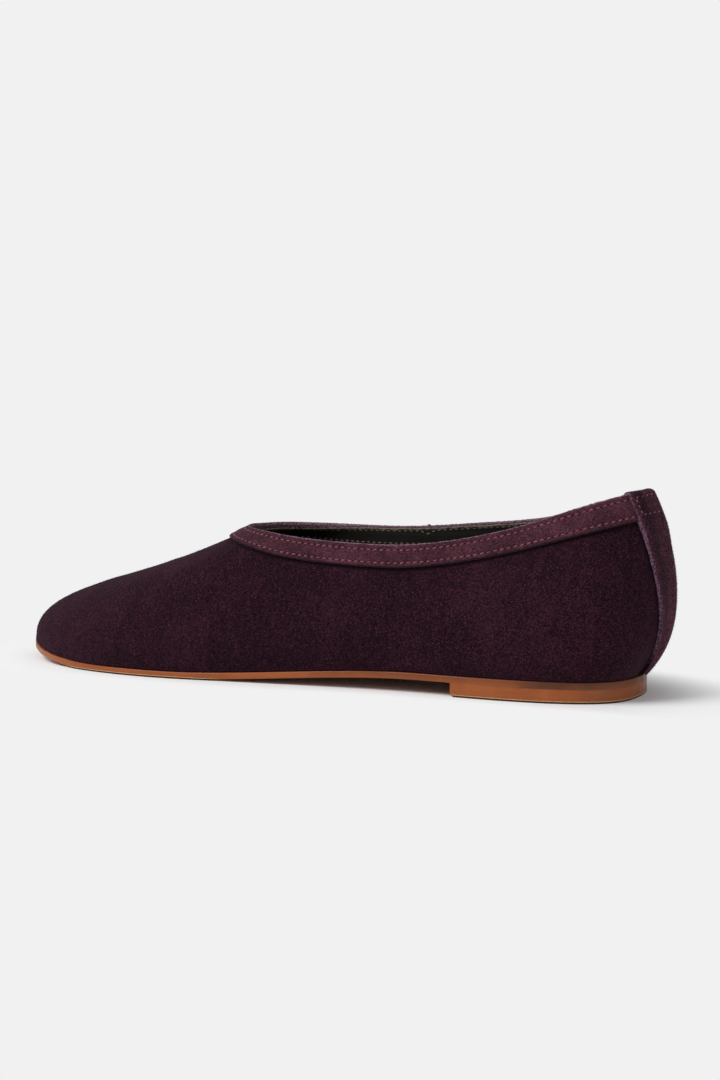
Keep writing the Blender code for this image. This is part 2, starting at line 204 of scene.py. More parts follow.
# section, size of the heights, place from the rear, reach out, reach in, outer height, inner height
TOPLINE = (
    ("back", BACK_HEIGHT, -0.010, 0.00, 0.00, 1.00, 1.00),
    ("corner", BACK_HEIGHT, 0.06, 0.31, 0.31, 0.95, 0.97),
    ("heel", BACK_HEIGHT, 0.21, 0.40, 0.39, 0.84, 0.87),
    ("breast", SIDE_HEIGHT, 0.45, 0.44, 0.45, 0.98, 1.08),
    ("waist", SIDE_HEIGHT, 0.64, 0.49, 0.48, 0.97, 1.045),
    ("joint", SIDE_HEIGHT, 0.80, 0.50, 0.49, 1.00, 1.045),
    ("ball", SIDE_HEIGHT, 0.91, 0.43, 0.44, 1.03, 1.045),
    ("vamp", THROAT_HEIGHT, 0.97, 0.27, 0.29, 0.99, 1.00),
    ("tip", THROAT_HEIGHT, 0.994, 0.12, 0.14, 1.00, 1.00),
    ("toe", THROAT_HEIGHT, 1.00, -0.02, 0.02, 1.00, 1.00),
)
HEEL_SIZES = (HEEL_BULGE, SIDE_HEIGHT, HEEL_BULGE, SIDE_HEIGHT)
JOINT_SIZES = (BALL_WIDTH, SIDE_HEIGHT, VAMP_LENGTH, SIDE_HEIGHT)
TOE_SIZES = (BALL_WIDTH, THROAT_HEIGHT, VAMP_LENGTH, THROAT_HEIGHT)
# section, sizes, out and up from the foot, out and down from the topline
FULLNESS = (
    ("back", HEEL_SIZES, 1.13, 0.26, 1.06, 0.48),
    ("corner", HEEL_SIZES, 1.06, 0.21, 0.88, 0.49),
    ("heel", HEEL_SIZES, 0.72, 0.24, 0.80, 0.40),
    ("breast", HEEL_SIZES, 0.65, 0.25, 0.57, 0.36),
    ("waist", HEEL_SIZES, 0.70, 0.30, 0.36, 0.27),
    ("joint", JOINT_SIZES, 0.09, 0.32, 0.05, 0.22),
    ("ball", TOE_SIZES, 0.07, 0.36, 0.13, 0.18),
    ("vamp", TOE_SIZES, 0.06, 0.38, 0.22, 0.22),
    ("tip", TOE_SIZES, 0.05, 0.40, 0.31, 0.32),
    ("toe", TOE_SIZES, 0.04, 0.42, 0.35, 0.38),
)
# Soft troughs and ridges of the upper: place as a share of the sole's length, side
# (1 outer, -1 inner, 0 both), height as a share of the side's, half length and half width in mm,
# lean in degrees from level, rise in mm (a trough is below 0).
CREASES = (
    (0.24, 0, 0.45, 20, 4.5, 78, 0.22),
    (0.30, 0, 0.50, 22, 7.0, 82, -0.38),
    (0.40, 1, 0.62, 26, 5.5, -8, -0.42),
    (0.43, -1, 0.66, 30, 6.0, -5, -0.55),
    (0.17, 1, 0.58, 14, 6.0, 38, 0.24),
    (0.55, 1, 0.45, 18, 5.0, 28, -0.35),
    (0.58, -1, 0.48, 18, 5.0, 24, -0.35),
    (0.655, 1, 0.56, 15, 3.2, 50, -0.28),
    (0.675, -1, 0.58, 15, 3.4, 48, -0.30),
    (0.70, 0, 0.70, 14, 4.0, 58, 0.18),
    (0.84, 0, 0.50, 24, 5.0, 74, 0.16),
)


def ease(x):
    """Smooth step from 0 to 1."""
    x = np.clip(x, 0, 1)
    return x * x * (3 - 2 * x)


def begun(x, change):
    """How far a change has got at x, from 0 to 1, given where it begins and how far it takes."""
    start, reach = change
    return ease((x - start) / reach)


def bell(x, centre, width):
    """1 at the centre, soft to 0 on both sides."""
    return np.exp(-((x - centre) / width)**2)


def unit(vectors):
    return vectors / np.linalg.norm(vectors, axis=-1, keepdims=True)


def sole_bottom(x):
    """Height of the outsole's underside: over the heel, down the arch, flat, and up to the toe."""
    rear = x + HEEL_CENTRE
    arch_start = HEEL_LENGTH + ARCH_SETBACK
    fall = ease((rear - arch_start) / (BALL_START - arch_start))
    spring_start = BALL_START + TREAD_LENGTH
    rise = np.clip((rear - spring_start) / (SOLE_LENGTH - spring_start), 0, None)
    return (HEEL_HEIGHT + CLEARANCE) * (1 - fall) + TOE_SPRING * rise**2


def seat(x):
    """Height of the outsole's top."""
    return sole_bottom(x) + SOLE_THICKNESS


def ripple(edge, place, period=None):
    """Waviness of an edge: a sum of sines that fit the period, which is the way round the shoe."""
    amount, wave, seed = WAVES[edge]
    period = period or LAST.period
    random = np.random.default_rng(seed)
    main = max(1.0, period / wave)
    total = np.zeros_like(place)
    for turns in np.unique(np.round(main * np.linspace(0.35, 1.9, 9))):
        phase = turns * place / period + random.random()
        total += np.sin(2 * np.pi * phase) * random.uniform(0.5, 1)
    return total * amount / 2.2


def periodic_spline(knots, values, at):
    """Closed cubic spline through the rows of values."""
    count = len(values)
    gaps = np.diff(knots)
    matrix = np.zeros((count, count))
    right = np.zeros_like(values)
    for i in range(count):
        before, after = (i - 1) % count, (i + 1) % count
        matrix[i, before] += gaps[before]
        matrix[i, i] += 2 * (gaps[before] + gaps[i])
        matrix[i, after] += gaps[i]
        right[i] = 6 * ((values[after] - values[i]) / gaps[i]
                        - (values[i] - values[before]) / gaps[before])
    bend = np.linalg.solve(matrix, right)
    at = np.mod(at, knots[-1])
    i = np.clip(np.searchsorted(knots, at, side="right") - 1, 0, count - 1)
    after = (i + 1) % count
    gap = gaps[i][:, None]
    a = (knots[i + 1] - at)[:, None] / gap
    b = 1 - a
    return (a * values[i] + b * values[after]
            + ((a**3 - a) * bend[i] + (b**3 - b) * bend[after]) * gap**2 / 6)


class Last:
    """The upper's outer face: u runs round the shoe from the back over the outer side,
    v from 0 at the foot to 1 at the topline."""

    def __init__(self):
        outer, inner = [], []
        for foot, top, full in zip(FOOT, TOPLINE, FULLNESS):
            fullness = [share * size for share, size in zip(full[2:], full[1])]
            for side, rows, column in ((1, outer, 0), (-1, inner, 1)):
                rows.append([foot[2] * SOLE_LENGTH - HEEL_CENTRE, side * foot[3 + column] * foot[1],
                             top[2] * THROAT_REACH - HEEL_CENTRE, side * top[3 + column] * COLLAR_WIDTH,
                             top[5 + column] * top[1]] + fullness)
        self.rows = np.array(outer + inner[-2:0:-1])
        plan = self.rows[:, :2]
        steps = np.linalg.norm(np.roll(plan, -1, axis=0) - plan, axis=1)
        self.knots = np.concatenate([[0], np.cumsum(steps)])
        self.period = self.knots[-1]
        self.toe = self.knots[len(FOOT) - 1]

    def read(self, u):
        return periodic_spline(self.knots, self.rows, np.asarray(u, dtype=float))

    def outward(self, u, columns=slice(0, 2)):
        """Unit normals, pointing out, of the foot's plan, or of the topline's by its columns."""
        step = 0.5 * MM
        run = self.read(u + step)[:, columns] - self.read(u - step)[:, columns]
        return unit(np.stack([-run[:, 1], run[:, 0]], axis=1))

    def foot_edge(self, u, margin):
        """Plan of the foot, moved out by margin."""
        return self.read(u)[:, :2] + self.outward(u) * margin

    def inward(self, u):
        """Level unit vectors that point into the shoe at the foot."""
        return -np.column_stack([self.outward(u), np.zeros(len(u))])

    def surface(self, u, v):
        """Points at v, a row of values for each station, and u, one for each station or point."""
        shape = v.shape
        if u.ndim == 1:
            at, back = u, np.repeat(np.arange(len(u)), shape[1])
        else:
            at, back = u.ravel(), slice(None)
        row = self.read(at)
        foot = np.column_stack([row[:, :2], seat(row[:, 0]) + CLEARANCE])
        top = row[:, 2:5]
        low = foot + np.column_stack([self.outward(at) * row[:, 5:6], row[:, 6]])
        high = top + np.column_stack([self.outward(at, slice(2, 4)) * row[:, 7:8], -row[:, 8]])
        v = v.reshape(-1, 1)
        w = 1 - v
        points = (w**3 * foot[back] + 3 * w * w * v * low[back] + 3 * w * v * v * high[back]
                  + v**3 * top[back])
        return points.reshape(*shape, 3)

    def relief(self, points):
        """How far the creases lift the surface at these points."""
        x, y, z = points[..., 0] + HEEL_CENTRE, points[..., 1], points[..., 2]
        total = np.zeros(x.shape)
        for place, side, height, length, width, lean, rise in CREASES:
            turn = math.radians(lean)
            from_x, from_z = x - place * SOLE_LENGTH, z - height * SIDE_HEIGHT
            along = from_x * math.cos(turn) + from_z * math.sin(turn)
            across = from_z * math.cos(turn) - from_x * math.sin(turn)
            facing = ease(y * side / (6 * MM)) if side else 1
            total += rise * MM * facing * bell(along, 0, length * MM) * bell(across, 0, width * MM)
        return total

    def normals(self, u, v):
        du, dv = 0.2 * MM, 0.001
        along = self.surface(u + du, v) - self.surface(u - du, v)
        up = self.surface(u, v + dv) - self.surface(u, v - dv)
        return unit(np.cross(up, along))

    def upward(self, u, v):
        """Unit vectors up the wall, at points in one column."""
        return unit((self.surface(u, v + 0.01) - self.surface(u, v - 0.01))[:, 0])

    def shell(self, u, v, lift):
        """The creased surface moved out along its normals by lift."""
        points = self.surface(u, v)
        lift = np.broadcast_to(lift, v.shape) + self.relief(points)
        return points + self.normals(u, v) * lift[:, :, None]

    def below_top(self, u, distance):
        """The v of each station at a distance down from the topline."""
        v = np.tile(np.linspace(1, 0, 161), (len(u), 1))
        walked = np.cumsum(np.linalg.norm(np.diff(self.surface(u, v), axis=1), axis=2), axis=1)
        walked = np.hstack([np.zeros((len(u), 1)), walked])
        distance = np.broadcast_to(distance, u.shape)
        return np.array([np.interp(*near) for near in zip(distance, walked, v)])

    def rows_below_top(self, u, distances):
        """The v of each station in rows, each at its own distances down from the topline."""
        return np.stack([self.below_top(u, distance) for distance in distances], axis=1)

    def band_width(self, u):
        from_back = np.minimum(u, self.period - u) / self.knots[3]
        return BAND_WIDTH + (BAND_BACK_WIDTH - BAND_WIDTH) * (1 - ease(from_back))

    def between_strip(self, margin, count=None, step=None):
        """Stations from one edge of the back strip round the toe to the other."""
        start = STRIP_TOP_WIDTH / 2 + margin
        return np.linspace(start, self.period - start, count or round(self.period / step))


LAST = Last()
RING = np.linspace(0, LAST.period, round(LAST.period / RING_STEP), endpoint=False)


def half_strip(v):
    """Half the width of the back strip, which narrows towards the sole."""
    return (STRIP_FOOT_WIDTH + (STRIP_TOP_WIDTH - STRIP_FOOT_WIDTH) * v) / 2


def from_back(u):
    """Distance from the middle of the back, below 0 on the inner side."""
    return np.where(u > LAST.period / 2, u - LAST.period, u)


def beside_strip(u, v):
    """The u of each point of columns that follow the slanting edges of the back strip."""
    place = from_back(u)[:, None]
    half_top = STRIP_TOP_WIDTH / 2
    beyond = np.abs(place) - half_top
    share = np.where(beyond > 0, np.exp(-beyond.clip(0) / (3 * MM)), np.abs(place) / half_top)
    return u[:, None] - np.sign(place) * share * (half_top - half_strip(v))


def spans(count, closed):
    """Pairs of neighbours in a line of stations."""
    return [(i, (i + 1) % count) for i in range(count if closed else count - 1)]


def piece_from(name, points, faces, material, values=None):
    """An object of one piece at the origin, with its faces turned outwards."""
    mesh = bpy.data.meshes.new(name)
    mesh.from_pydata([tuple(point) for point in points], [], faces)
    mesh.calc_loop_triangles()
    corners = np.array([triangle.vertices[:] for triangle in mesh.loop_triangles])
    a, b, c = (points[corners[:, k]] for k in range(3))
    if np.sum(a * np.cross(b, c)) < 0:
        mesh.flip_normals()
    for key, value in (values or {}).items():
        attribute = mesh.attributes.new(key, "FLOAT", "POINT")
        attribute.data.foreach_set("value", np.asarray(value, dtype=np.float32).ravel())
    mesh.shade_smooth()
    mesh.set_sharp_from_angle(angle=SHARP_ANGLE)
    mesh.materials.append(material)
    piece = bpy.data.objects.new(name, mesh)
    bpy.context.collection.objects.link(piece)
    return piece


def tube(name, loops, closed, material, cut, dark):
    """A piece skinned over loops of points. If they don't close into a ring, the ends are capped.

    cut and dark say where an edge is raw and where shade is painted."""
    columns, rows = loops.shape[:2]
    faces = [(i * rows + k, j * rows + k, j * rows + (k + 1) % rows, i * rows + (k + 1) % rows)
             for i, j in spans(columns, closed) for k in range(rows)]
    if not closed:
        faces.append(tuple(range(rows))[::-1])
        faces.append(tuple((columns - 1) * rows + k for k in range(rows)))
    return piece_from(name, loops.reshape(-1, 3), faces, material, {"cut": cut, "dark": dark})


def cut_edge(start, end, out):
    """Points over a cut edge, from one face of a layer to the other, slightly domed along out."""
    corner = EDGE_ROUND / np.linalg.norm(end - start, axis=1)[:, None]
    steps = ((0.25 * corner, 0.55), (corner, 0.9), (0.5 + 0 * corner, 1.0), (1 - corner, 0.9),
             (1 - 0.25 * corner, 0.55))             # as many as EDGE_POINTS
    return np.stack([start + (end - start) * share + out * (EDGE_ROUND + EDGE_DOME) * rise
                     for share, rise in steps], axis=1)


def layer(name, u, v, outer_lift, inner_lift, material, closed=True):
    """One layer of the wall, with cut edges above and below.

    The attribute cut is 1 on the upper edge and -1 on the lower one, which gets painted shade."""
    outside = LAST.shell(u, v, outer_lift)
    inside = LAST.shell(u, v, inner_lift)
    top = cut_edge(outside[:, -1], inside[:, -1], unit(outside[:, -1] - outside[:, -3]))
    bottom = cut_edge(inside[:, 0], outside[:, 0], unit(outside[:, 0] - outside[:, 2]))
    loops = np.concatenate([outside, top, inside[:, ::-1], bottom], axis=1)
    cut = np.zeros(loops.shape[:2])
    steps = v.shape[1]
    cut[:, steps - 1:steps + EDGE_POINTS + 1] = 1
    cut[:, -EDGE_POINTS - 1:] = -1
    cut[:, 0] = -1
    # Painted shade on the lower cut edge, which faces down.
    return tube(name, loops, closed, material, cut, 0.75 * (cut < 0))


def plate(name, left, right, bottom, top, material):
    """A plate from two grids of edge points, left and right, that share their first column.

    Each column runs up the edge. bottom and top give the height at an x and a share of the way
    across."""
    joined = bool(np.linalg.norm(left[-1] - right[-1]) < 1e-6)
    count, rows = left.shape[:2]
    ring = list(left) + list(right[-2 if joined else -1:0:-1])
    points = list(np.concatenate(ring))

    def left_at(i, row):
        return i * rows + row

    def right_at(i, row):
        return left_at((len(ring) - i) % len(ring), row)

    faces = [(left_at(i, row), left_at(j, row), left_at(j, row + 1), left_at(i, row + 1))
             for i, j in spans(len(ring), True) if joined or i != count - 1 for row in range(rows - 1)]
    front = []
    for row, height, turned in ((0, bottom, False), (rows - 1, top, True)):
        lines = []
        for i in range(count):
            line = [left_at(i, row)]
            if i > 0 and not (joined and i == count - 1):
                a, b = points[left_at(i, row)], points[right_at(i, row)]
                for share in np.arange(1, CAP_STEPS) / CAP_STEPS:
                    spot = a + (b - a) * share
                    spot[2] = height(spot[0], share)
                    line.append(len(points))
                    points.append(spot)
                line.append(right_at(i, row))
            lines.append(line)
        for one, two in zip(lines, lines[1:]):
            for k in range(CAP_STEPS):
                corners = [one[min(k, len(one) - 1)], one[min(k + 1, len(one) - 1)],
                           two[min(k + 1, len(two) - 1)], two[min(k, len(two) - 1)]]
                corners = list(dict.fromkeys(corners))
                faces.append(tuple(corners[::-1] if turned else corners))
        front.append(lines[-1])
    if not joined:
        low, high = front
        right_side = [right_at(count - 1, row) for row in range(1, rows - 1)]
        left_side = [left_at(count - 1, row) for row in range(1, rows - 1)]
        faces.append(tuple(low + right_side + high[::-1] + left_side[::-1]))
    return piece_from(name, np.array(points), faces, material)


def colour(red, green, blue):
    """A colour read as screen values from 0 to 255, as the shader takes it."""
    return tuple(((c / 255 + 0.055) / 1.055)**2.4 if c > 10 else c / 255 / 12.92
                 for c in (red, green, blue)) + (1,)


class Value:
    """An output of a node that can be added to, taken from and multiplied."""

    def __init__(self, tree, socket):
        self.tree = tree
        self.socket = socket

    def __add__(self, other):
        return calc("ADD", self, other)

    def __sub__(self, other):
        return calc("SUBTRACT", self, other)

    def __mul__(self, other):
        return calc("MULTIPLY", self, other)


def plug(tree, made, inputs):
    """Sets inputs of a node, each to a value or to the output of another node."""
    for key, value in inputs.items():
        if isinstance(value, Value):
            value = value.socket
        if isinstance(value, bpy.types.NodeSocket):
            tree.links.new(value, made.inputs[key])
        else:
            made.inputs[key].default_value = value


def node(tree, kind, inputs=None, output=0, **settings):
    """Adds a node with its inputs plugged in. Gives one of its outputs."""
    made = tree.nodes.new(kind)
    for key, value in settings.items():
        setattr(made, key, value)
    plug(tree, made, inputs or {})
    return Value(tree, made.outputs[output]) if made.outputs else None


def calc(operation, *values):
    """Result of a Math node."""
    tree = next(value.tree for value in values if isinstance(value, Value))
    return node(tree, "ShaderNodeMath", dict(enumerate(values)), operation=operation)


def blend(factor, one, two):
    """Result of mixing two colours."""
    return node(factor.tree, "ShaderNodeMix", {0: factor, 6: one, 7: two}, 2, data_type="RGBA")


def spread(value, low, high, to_low=0.0, to_high=1.0):
    """A value stretched from one range to another, with soft ends."""
    return node(value.tree, "ShaderNodeMapRange",
                {0: value, 1: low, 2: high, 3: to_low, 4: to_high}, interpolation_type="SMOOTHSTEP")


def noise(place, size, detail=2.0, roughness=0.5, distortion=0.0):
    """Value of a noise whose features have a size in metres."""
    return node(place.tree, "ShaderNodeTexNoise", {
        "Vector": place, "Scale": 1 / size, "Detail": detail, "Roughness": roughness,
        "Distortion": distortion}, "Fac")


def cells(place, size, output):
    """Distance from the middle, or colour, of cells of a size in metres."""
    return node(place.tree, "ShaderNodeTexVoronoi", {"Vector": place, "Scale": 1 / size}, output)


def stretched(place, scale, turn=(0, 0, 0)):
    """The place with its axes scaled, for streaks."""
    return node(place.tree, "ShaderNodeMapping", {"Vector": place, "Rotation": turn, "Scale": scale})


def place_of(tree):
    return node(tree, "ShaderNodeTexCoord", output="Object")


def axes(place):
    """The x, y and z of a place."""
    return [node(place.tree, "ShaderNodeSeparateXYZ", {0: place}, axis) for axis in range(3)]


SOCKETS = {"colour": "NodeSocketColor", "value": "NodeSocketFloat", "count": "NodeSocketInt",
           "vector": "NodeSocketVector", "material": "NodeSocketMaterial",
           "geometry": "NodeSocketGeometry"}


def new_group(name, kind, inputs, outputs):
    """A node group with named sockets. Gives the group, its inputs and its output node."""
    group = bpy.data.node_groups.new(name, kind)
    for way, sockets in (("INPUT", inputs), ("OUTPUT", outputs)):
        for label, socket in sockets.items():
            group.interface.new_socket(name=label, in_out=way, socket_type=SOCKETS[socket])
    given = group.nodes.new("NodeGroupInput").outputs
    return group, {label: Value(group, given[label]) for label in inputs}, group.nodes.new("NodeGroupOutput")


def make_nap_effect():
    """Short brushed nap: faint patches and brush marks, strong grain and single bright fibres."""
    group, given, out = new_group("nap", "ShaderNodeTree", {
        "Shade": "colour", "Lit": "colour", "Fleck": "colour", "Patches": "value", "Grain": "value"},
        {"Colour": "colour", "Height": "value"})
    place = place_of(group)
    patch = spread(noise(place, 20 * MM, 3, 0.55, 0.6), 0.36, 0.66, -0.6, 0.6)
    brush_place = stretched(place, (1, 1, 0.4), (0.3, 0.5, 0.2))
    brush = spread(noise(brush_place, 3.0 * MM, 3, 0.6, 0.5), 0.32, 0.7, -0.4, 0.4)
    fine = noise(place, 0.42 * MM, 2, 0.6)
    coarse = noise(place, 0.85 * MM, 2, 0.6)
    grain = fine * 0.74 + coarse * 0.26 - 0.5
    tone = (patch + brush) * given["Patches"] + 0.5 + grain * given["Grain"]
    tone = calc("POWER", calc("MAXIMUM", tone, 0.0), 1.7)
    bright = spread(cells(place, 0.75 * MM, "Distance"), 0.3, 0.14)
    fleck_colour = cells(place, 0.75 * MM, "Color")
    rare = spread(node(group, "ShaderNodeSeparateColor", {0: fleck_colour}), 0.45, 1.0)
    suede = blend(tone, given["Shade"], given["Lit"])
    plug(group, out, {"Colour": blend(bright * rare * 0.42, suede, given["Fleck"]),
                      "Height": grain + brush * 0.3})
    return group


def make_cut_effect():
    """Raw edge of a cut layer, where the nap's colour gives way to the core, and painted shade where the
    attribute dark is set, such as the line under a layer's edge.
    """
    group, given, out = new_group("cut_edge", "ShaderNodeTree", {
        "Colour": "colour", "Core": "colour", "Reach": "value", "Painted Shade": "colour"}, {"Colour": "colour"})
    cut = node(group, "ShaderNodeAttribute", output="Fac", attribute_name="cut")
    dark = node(group, "ShaderNodeAttribute", output="Fac", attribute_name="dark")
    rough = noise(place_of(group), 0.7 * MM, 3, 0.75) - 0.5
    ragged = calc("ABSOLUTE", cut) + rough * 3.6
    weaker = spread(cut, -0.3, 0.3, 0.12, 1.0)
    mask = spread(ragged, 0.5, 1.35) * weaker * given["Reach"]
    # Painted shade where the attribute dark is set, mixed towards its own colour.
    painted_shade = (dark + rough * dark * 0.8) * 0.85
    shaded = blend(painted_shade, given["Colour"], given["Painted Shade"])
    plug(group, out, {"Colour": blend(mask, shaded, given["Core"])})
    return group


def make_leather_effect():
    """Fine leather grain with soft stains."""
    group, given, out = new_group("leather", "ShaderNodeTree", {
        "Dark": "colour", "Light": "colour", "Stain": "value"},
        {"Colour": "colour", "Height": "value", "Polish": "value"})
    place = place_of(group)
    cloud = spread(noise(place, 14 * MM, 4, 0.6, 0.4), 0.3, 0.72)
    pores = noise(place, 0.35 * MM, 2, 0.6)
    tone = cloud * given["Stain"] + pores * 0.3
    plug(group, out, {"Colour": blend(tone, given["Dark"], given["Light"]),
                      "Height": cells(place, 0.8 * MM, "Distance") * 0.6 + pores * 0.5,
                      "Polish": cloud * 0.5})
    return group


NAP = make_nap_effect()
CUT = make_cut_effect()
LEATHER = make_leather_effect()


def finish_of(name, constants):
    """A material with one Principled shader. Gives the material, its tree and the shader."""
    material = bpy.data.materials.new(name)
    material.use_nodes = True
    shader = material.node_tree.nodes["Principled BSDF"]
    plug(material.node_tree, shader, constants)
    return material, material.node_tree, shader


def use_group(tree, group, inputs):
    """Places a shared effect in a material. Gives its outputs."""
    made = tree.nodes.new("ShaderNodeGroup")
    made.node_tree = group
    plug(tree, made, inputs)
    return {socket.name: Value(tree, socket) for socket in made.outputs}


def bump(height, distance, strength):
    return node(height.tree, "ShaderNodeBump", {"Height": height, "Distance": distance, "Strength": strength})


def suede(name, shade, lit, core, grain, painted_shade=colour(17, 6, 11)):
    """Matt suede, whose cut edges are raw, with painted shade where the attribute dark is set."""
    material, tree, shader = finish_of(name, {
        "Roughness": 0.95, "Specular IOR Level": 0.06, "Sheen Weight": 0.06, "Sheen Roughness": 0.4,
        "Sheen Tint": colour(214, 170, 196)})
    nap = use_group(tree, NAP, {"Shade": shade, "Lit": lit, "Fleck": colour(108, 70, 88),
                                "Patches": 0.15, "Grain": grain})
    edged = use_group(tree, CUT, {"Colour": nap["Colour"], "Core": core, "Reach": 0.8, "Painted Shade": painted_shade})
    plug(tree, shader, {"Base Color": edged["Colour"],
                        "Normal": bump(nap["Height"], 0.3 * MM, 0.6)})
    return material


def smooth_leather(name, dark, light, roughness, core=None):
    """Lining leather, with a raw cut edge and painted black shade by the attribute dark if it has a core."""
    material, tree, shader = finish_of(name, {"Roughness": roughness, "Specular IOR Level": 0.35})
    skin = use_group(tree, LEATHER, {"Dark": dark, "Light": light, "Stain": 0.6})
    result = skin["Colour"]
    if core:
        result = use_group(tree, CUT, {"Colour": result, "Core": core, "Reach": 0.9,
                                       "Painted Shade": colour(0, 0, 0)})["Colour"]
    plug(tree, shader, {"Base Color": result, "Normal": bump(skin["Height"], 0.12 * MM, 0.35)})
    return material


def sole_leather(name):
    """Tan leather: brushed edges, a heel smudge, a raw line at the floor, painted shade at top and rear, a
    painted contact shadow low down, plainer below.
    """
    material, tree, shader = finish_of(name, {"Specular IOR Level": 0.2, "Coat Roughness": 0.4})
    place = place_of(tree)
    skin = use_group(tree, LEATHER, {"Dark": colour(134, 70, 34), "Light": colour(160, 88, 45),
                                     "Stain": 0.55})
    lines = noise(stretched(place, (0.02, 0.02, 1)), 0.3 * MM, 2, 0.6)
    x, _, z = axes(place)
    low = z + noise(place, 0.45 * MM, 3, 0.8) * (0.5 * MM)
    raw = spread(low, 1.05 * MM, 0.85 * MM) * spread(z, 0.4 * MM, 0.6 * MM)
    over_heel = spread(z, HEEL_HEIGHT, HEEL_HEIGHT + 0.5 * MM)
    cloud = noise(stretched(place, (0.4, 0.4, 1)), 6 * MM, 3, 0.6)
    rubbed = spread(x, 6 * MM, 0.0) * spread(x, -24 * MM, -16 * MM, 0.4)
    brushed = spread(lines, 0.35, 0.72, 0, 0.22)
    # Painted shade: darker towards the top of the edge, under the upper.
    painted_shade_at_top = spread(z, 3.4 * MM, 6.6 * MM, 0, 0.6)
    # Painted shade on the heel's rear, which turns away from the light.
    painted_shade_at_rear = spread(x, -10 * MM, -24 * MM, 0, 0.3)
    smudge = over_heel * spread(cloud, 0.3, 0.6, 0.35) * (rubbed * 0.8)
    # Painted contact shadow: near black along the lowest edge and the underside.
    painted_contact_shadow = spread(z, 0.62 * MM, 0.42 * MM, 0.0, 0.95)
    result = skin["Colour"]
    for mask, tone in ((brushed, colour(98, 49, 26)), (painted_shade_at_top, colour(84, 46, 26)),
                       (painted_shade_at_rear, colour(84, 46, 26)), (smudge, colour(70, 40, 26)),
                       (raw, colour(200, 158, 112)), (painted_contact_shadow, colour(30, 18, 12))):
        result = blend(mask, result, tone)
    plug(tree, shader, {
        "Base Color": result, "Roughness": raw * 0.4 + (skin["Polish"] + 0.22),
        "Coat Weight": calc("SUBTRACT", 1.0, raw) * 0.05,
        "Normal": bump(lines * 0.5 + skin["Height"] * 0.4, 0.08 * MM, 0.4)})
    return material


def thread(name, dark, light):
    """Waxed thread, with the twist as fine oblique lines, and painted shade in random stretches where it lies
    deeper.
    """
    material, tree, shader = finish_of(name, {
        "Roughness": 0.6, "Specular IOR Level": 0.3, "Sheen Weight": 0.3, "Sheen Roughness": 0.5})
    twist = noise(stretched(place_of(tree), (1, 1, 2.5)), 0.22 * MM, 2, 0.6)
    # Painted shade in random stretches where the thread lies deeper.
    painted_sunk_shade = spread(noise(place_of(tree), 5 * MM, 1), 0.35, 0.65, 0.0, 0.75)
    twisted = blend(spread(twist, 0.3, 0.7), dark, light)
    plug(tree, shader, {"Base Color": blend(painted_sunk_shade, twisted, dark),
                        "Normal": bump(twist, 0.08 * MM, 0.6)})
    return material


def plain(name, tone, roughness=0.9):
    """A fibre, or the painted shade of a hollow: one tone broken up by fine noise."""
    material, tree, shader = finish_of(name, {"Roughness": roughness, "Specular IOR Level": 0.1})
    broken = spread(noise(place_of(tree), 0.6 * MM, 2), 0.3, 0.7)
    darker = tuple(0.65 * part for part in tone[:3]) + (1,)
    plug(tree, shader, {"Base Color": blend(broken, darker, tone)})
    return material


UPPER = suede("upper_suede", colour(12, 4, 9), colour(60, 29, 42), colour(88, 70, 80), 3.6)
BAND = suede("band_suede", colour(30, 14, 20), colour(104, 61, 75), colour(132, 106, 122), 2.1)
# The strip's Lit tone is lighter than the band's, partly as painted light for the bright rim along the back.
STRIP = suede("strip_suede", colour(28, 13, 19), colour(116, 69, 84), colour(126, 98, 124), 2.8,
              painted_shade=colour(20, 10, 20))
LINING = smooth_leather("lining_leather", colour(13, 11, 9), colour(25, 21, 18), 0.6,
                        core=colour(112, 98, 82))
INSOLE = smooth_leather("insole_leather", colour(18, 15, 12), colour(36, 30, 24), 0.5)
TAN = sole_leather("tan_sole_leather")
WINE_THREAD = thread("wine_thread", colour(100, 38, 49), colour(160, 74, 86))
BROWN_THREAD = thread("brown_thread", colour(84, 66, 46), colour(134, 108, 78))
# Needle holes are dark beads: painted shade standing for the hollow of each hole.
HOLE = plain("needle_hole", colour(26, 11, 15), 1.0)
LILAC_FIBRE = plain("lilac_fibre", colour(136, 108, 122))
MAUVE_FIBRE = plain("mauve_fibre", colour(86, 62, 78))
NAP_FIBRE = plain("nap_fibre", colour(72, 40, 52))
BAND_FIBRE = plain("band_fibre", colour(104, 68, 80))


def scaled(vector, factor):
    return node(vector.tree, "ShaderNodeVectorMath", {0: vector, 3: factor}, operation="SCALE")


def summed(one, two):
    return node(one.tree, "ShaderNodeVectorMath", {0: one, 1: two}, operation="ADD")


def random_of(low, high, seed):
    """A random number for each instance."""
    return node(seed.tree, "FunctionNodeRandomValue", {2: low, 3: high, 8: seed}, 1,
                data_type="FLOAT")


def turned_to(axis, inputs, **settings):
    """A rotation that turns an axis to a direction."""
    return node(inputs["Vector"].tree, "FunctionNodeAlignRotationToVector", inputs, axis=axis,
                **settings)


def rail_points(tree, given, spacing, mode):
    """Points along a rail of edges, and the direction that faces out at each."""
    curve = node(tree, "GeometryNodeMeshToCurve", {0: given["Geometry"]})
    points = node(tree, "GeometryNodeResampleCurve", {"Curve": curve} | spacing, mode=mode)
    outward = node(tree, "GeometryNodeInputNamedAttribute", {"Name": "outward"},
                   data_type="FLOAT_VECTOR")
    return points, outward


def place_instances(tree, given, out, points, instance, rotation, scale, **more):
    """Instances on points, realized, shaded smooth and given their material."""
    placed = node(tree, "GeometryNodeInstanceOnPoints", {
        "Points": points, "Instance": instance, "Rotation": rotation, "Scale": scale} | more)
    real = node(tree, "GeometryNodeRealizeInstances", {0: placed})
    soft = node(tree, "GeometryNodeSetShadeSmooth", {0: real})
    done = node(tree, "GeometryNodeSetMaterial", {"Geometry": soft, "Material": given["Material"]})
    plug(tree, out, {0: done})
    return tree


